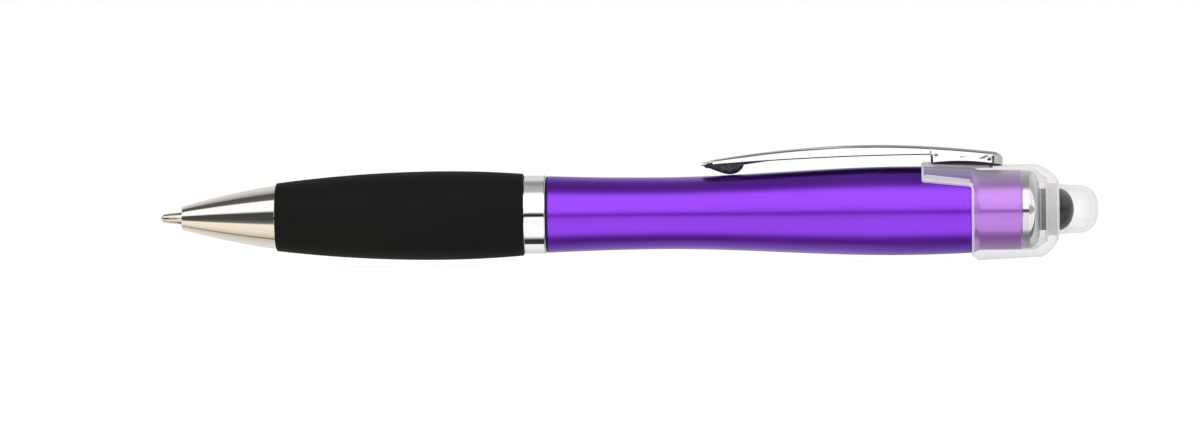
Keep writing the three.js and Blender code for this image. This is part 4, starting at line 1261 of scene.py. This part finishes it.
# What polished metal sees round the pen: elevation in degrees from the camera's side, and a grey level
# or a colour. 0 is towards the camera, 90 straight up, -90 straight down and 180 behind.
TENT_BANDS = (
    (-180, 0.38), (-144, 0.35), (-112, 0.27), (-102, 0.18), (-82, 0.13), (-72, 0.35), (-62, 0.92),
    (-10, 0.92), (-8, 0.05), (0, 0.05), (3, 1.2), (58, 1.2), (70, 0.22), (85, 0.12), (112, 0.16),
    (144, 0.35), (180, 0.4),
)
# The same straight behind the pen, where its own width leaves a gap between the dark panels
GAP_BANDS = (
    (-180, (0.7, 0.69, 0.69)), (-144, (0.76, 0.75, 0.75)), (-128, (0.9, 0.89, 0.89)),
    (-101, (1.08, 1.07, 1.06)), (-97, 0.03), (-79, 0.03), (-75, 0.45), (-68, 1.14), (-8, 1.14),
    (-6, 0.02), (4, 0.02), (6, 1.14), (65, 1.14), (72, 0.52), (92, (0.46, 0.46, 0.45)),
    (100, (0.32, 0.32, 0.31)), (112, (0.34, 0.34, 0.33)), (124, (0.78, 0.77, 0.76)),
    (180, (0.76, 0.75, 0.75)),
)
# The same for what faces the writing tip, where the tent is open
FRONT_BANDS = (
    (-180, (0.8, 0.8, 0.74)), (-130, (0.82, 0.79, 0.72)), (-106, (0.74, 0.68, 0.6)),
    (-94, (0.64, 0.57, 0.47)), (-90, (0.3, 0.24, 0.19)), (-86, (0.3, 0.24, 0.19)),
    (-82, (0.7, 0.61, 0.5)), (-60, (0.97, 0.87, 0.71)), (-30, (1.08, 0.97, 0.82)),
    (-24, (0.2, 0.19, 0.15)), (-10, (0.075, 0.07, 0.06)), (18, (0.06, 0.065, 0.055)),
    (26, (1.15, 1.15, 1.12)), (64, 1.16), (70, (0.12, 0.12, 0.1)), (96, (0.09, 0.08, 0.075)),
    (106, (0.46, 0.42, 0.41)), (130, (0.76, 0.71, 0.69)), (180, (0.83, 0.82, 0.81)),
)
# The same for what faces the light end
REAR_BANDS = (
    (-180, 0.72), (-104, 0.8), (-96, (0.1, 0.1, 0.11)), (-74, (0.1, 0.1, 0.11)), (-66, 1.12),
    (-17, 1.12), (-12, (0.42, 0.43, 0.45)), (12, (0.42, 0.43, 0.45)), (18, 1.12), (62, 1.12),
    (70, (0.42, 0.42, 0.43)), (112, 0.5), (130, 0.75), (180, 0.72),
)
# Where that gap lies along X, on the side of the writing tip, and where each set of bands fades in
GAP_AT = 0.0497
GAP_FADE = (0.014, 0.009)
FRONT_FADE = (0, -0.04)
FRONT_LEAN = 0.24
REAR_FADE = (0.2, 0.3)
# The even light on matte surfaces and the white behind the pen
EVEN_LIGHT = (0.85, 0.85, 0.845)
BACKDROP = (1, 1, 0.995)
# A mix node's colour sockets, whose names its other ones share
MIX_INPUTS = (6, 7)
MIX_OUTPUT = 2


def band_ramp(tree, angle, bands):
    return color_ramp(tree, angle, [((degrees + 180) / 360, color) for degrees, color in bands])


def math_node(tree, operation, *values):
    node = tree.nodes.new("ShaderNodeMath")
    node.operation = operation
    for socket, value in zip(node.inputs, values):
        plug(socket, value)
    return node.outputs["Value"]


def fade(tree, value, start, end):
    """0 before start and 1 beyond end, eased between them."""
    result = map_range(tree, value, start, end)
    result.node.interpolation_type = "SMOOTHSTEP"
    return result


def mix_color(tree, factor, first, second):
    node = tree.nodes.new("ShaderNodeMix")
    node.data_type = "RGBA"
    plug(node.inputs["Factor"], factor)
    for index, value in zip(MIX_INPUTS, (first, second)):
        plug(node.inputs[index], rgba(value) if isinstance(value, tuple) else value)
    return node.outputs[MIX_OUTPUT]


def make_world():
    """Even light for matte surfaces, the tent's bands for polished ones, and plain white behind all."""
    world = bpy.data.worlds.new("light_tent")
    scene.world = world
    world.use_nodes = True
    tree = world.node_tree
    tree.nodes.clear()
    direction = add_node(tree, "ShaderNodeTexCoord").outputs["Generated"]
    axes = add_node(tree, "ShaderNodeSeparateXYZ", Vector=direction).outputs
    along = axes["X"]
    turn = math_node(tree, "ARCTAN2", axes["Z"], math_node(tree, "MULTIPLY", axes["Y"], -1))
    angle = math_node(tree, "MULTIPLY_ADD", turn, 1 / (2 * math.pi), 0.5)
    off_centre = math_node(tree, "ADD", along, math.sin(CAMERA_AZIMUTH))
    from_gap = math_node(tree, "ABSOLUTE", math_node(tree, "ADD", along, GAP_AT))
    height = math_node(tree, "COSINE", math_node(tree, "MULTIPLY", turn, 0.5))
    from_nose = math_node(tree, "ADD", off_centre, math_node(tree, "MULTIPLY", height, FRONT_LEAN))
    color = band_ramp(tree, angle, TENT_BANDS)
    for place, reach, bands in ((from_nose, FRONT_FADE, FRONT_BANDS), (from_gap, GAP_FADE, GAP_BANDS),
                                (along, REAR_FADE, REAR_BANDS)):
        color = mix_color(tree, fade(tree, place, *reach), color, band_ramp(tree, angle, bands))
    rays = add_node(tree, "ShaderNodeLightPath").outputs
    color = mix_color(tree, rays["Is Glossy Ray"], EVEN_LIGHT, color)
    seen = math_node(tree, "MAXIMUM", rays["Is Camera Ray"], rays["Is Transmission Ray"])
    color = mix_color(tree, seen, color, BACKDROP)
    background = add_node(tree, "ShaderNodeBackground", Color=color)
    add_node(tree, "ShaderNodeOutputWorld", Surface=background.outputs["Background"])


make_camera()
make_pieces()
make_floor()
make_lamp()
make_world()
scene.view_settings.view_transform = "Standard"
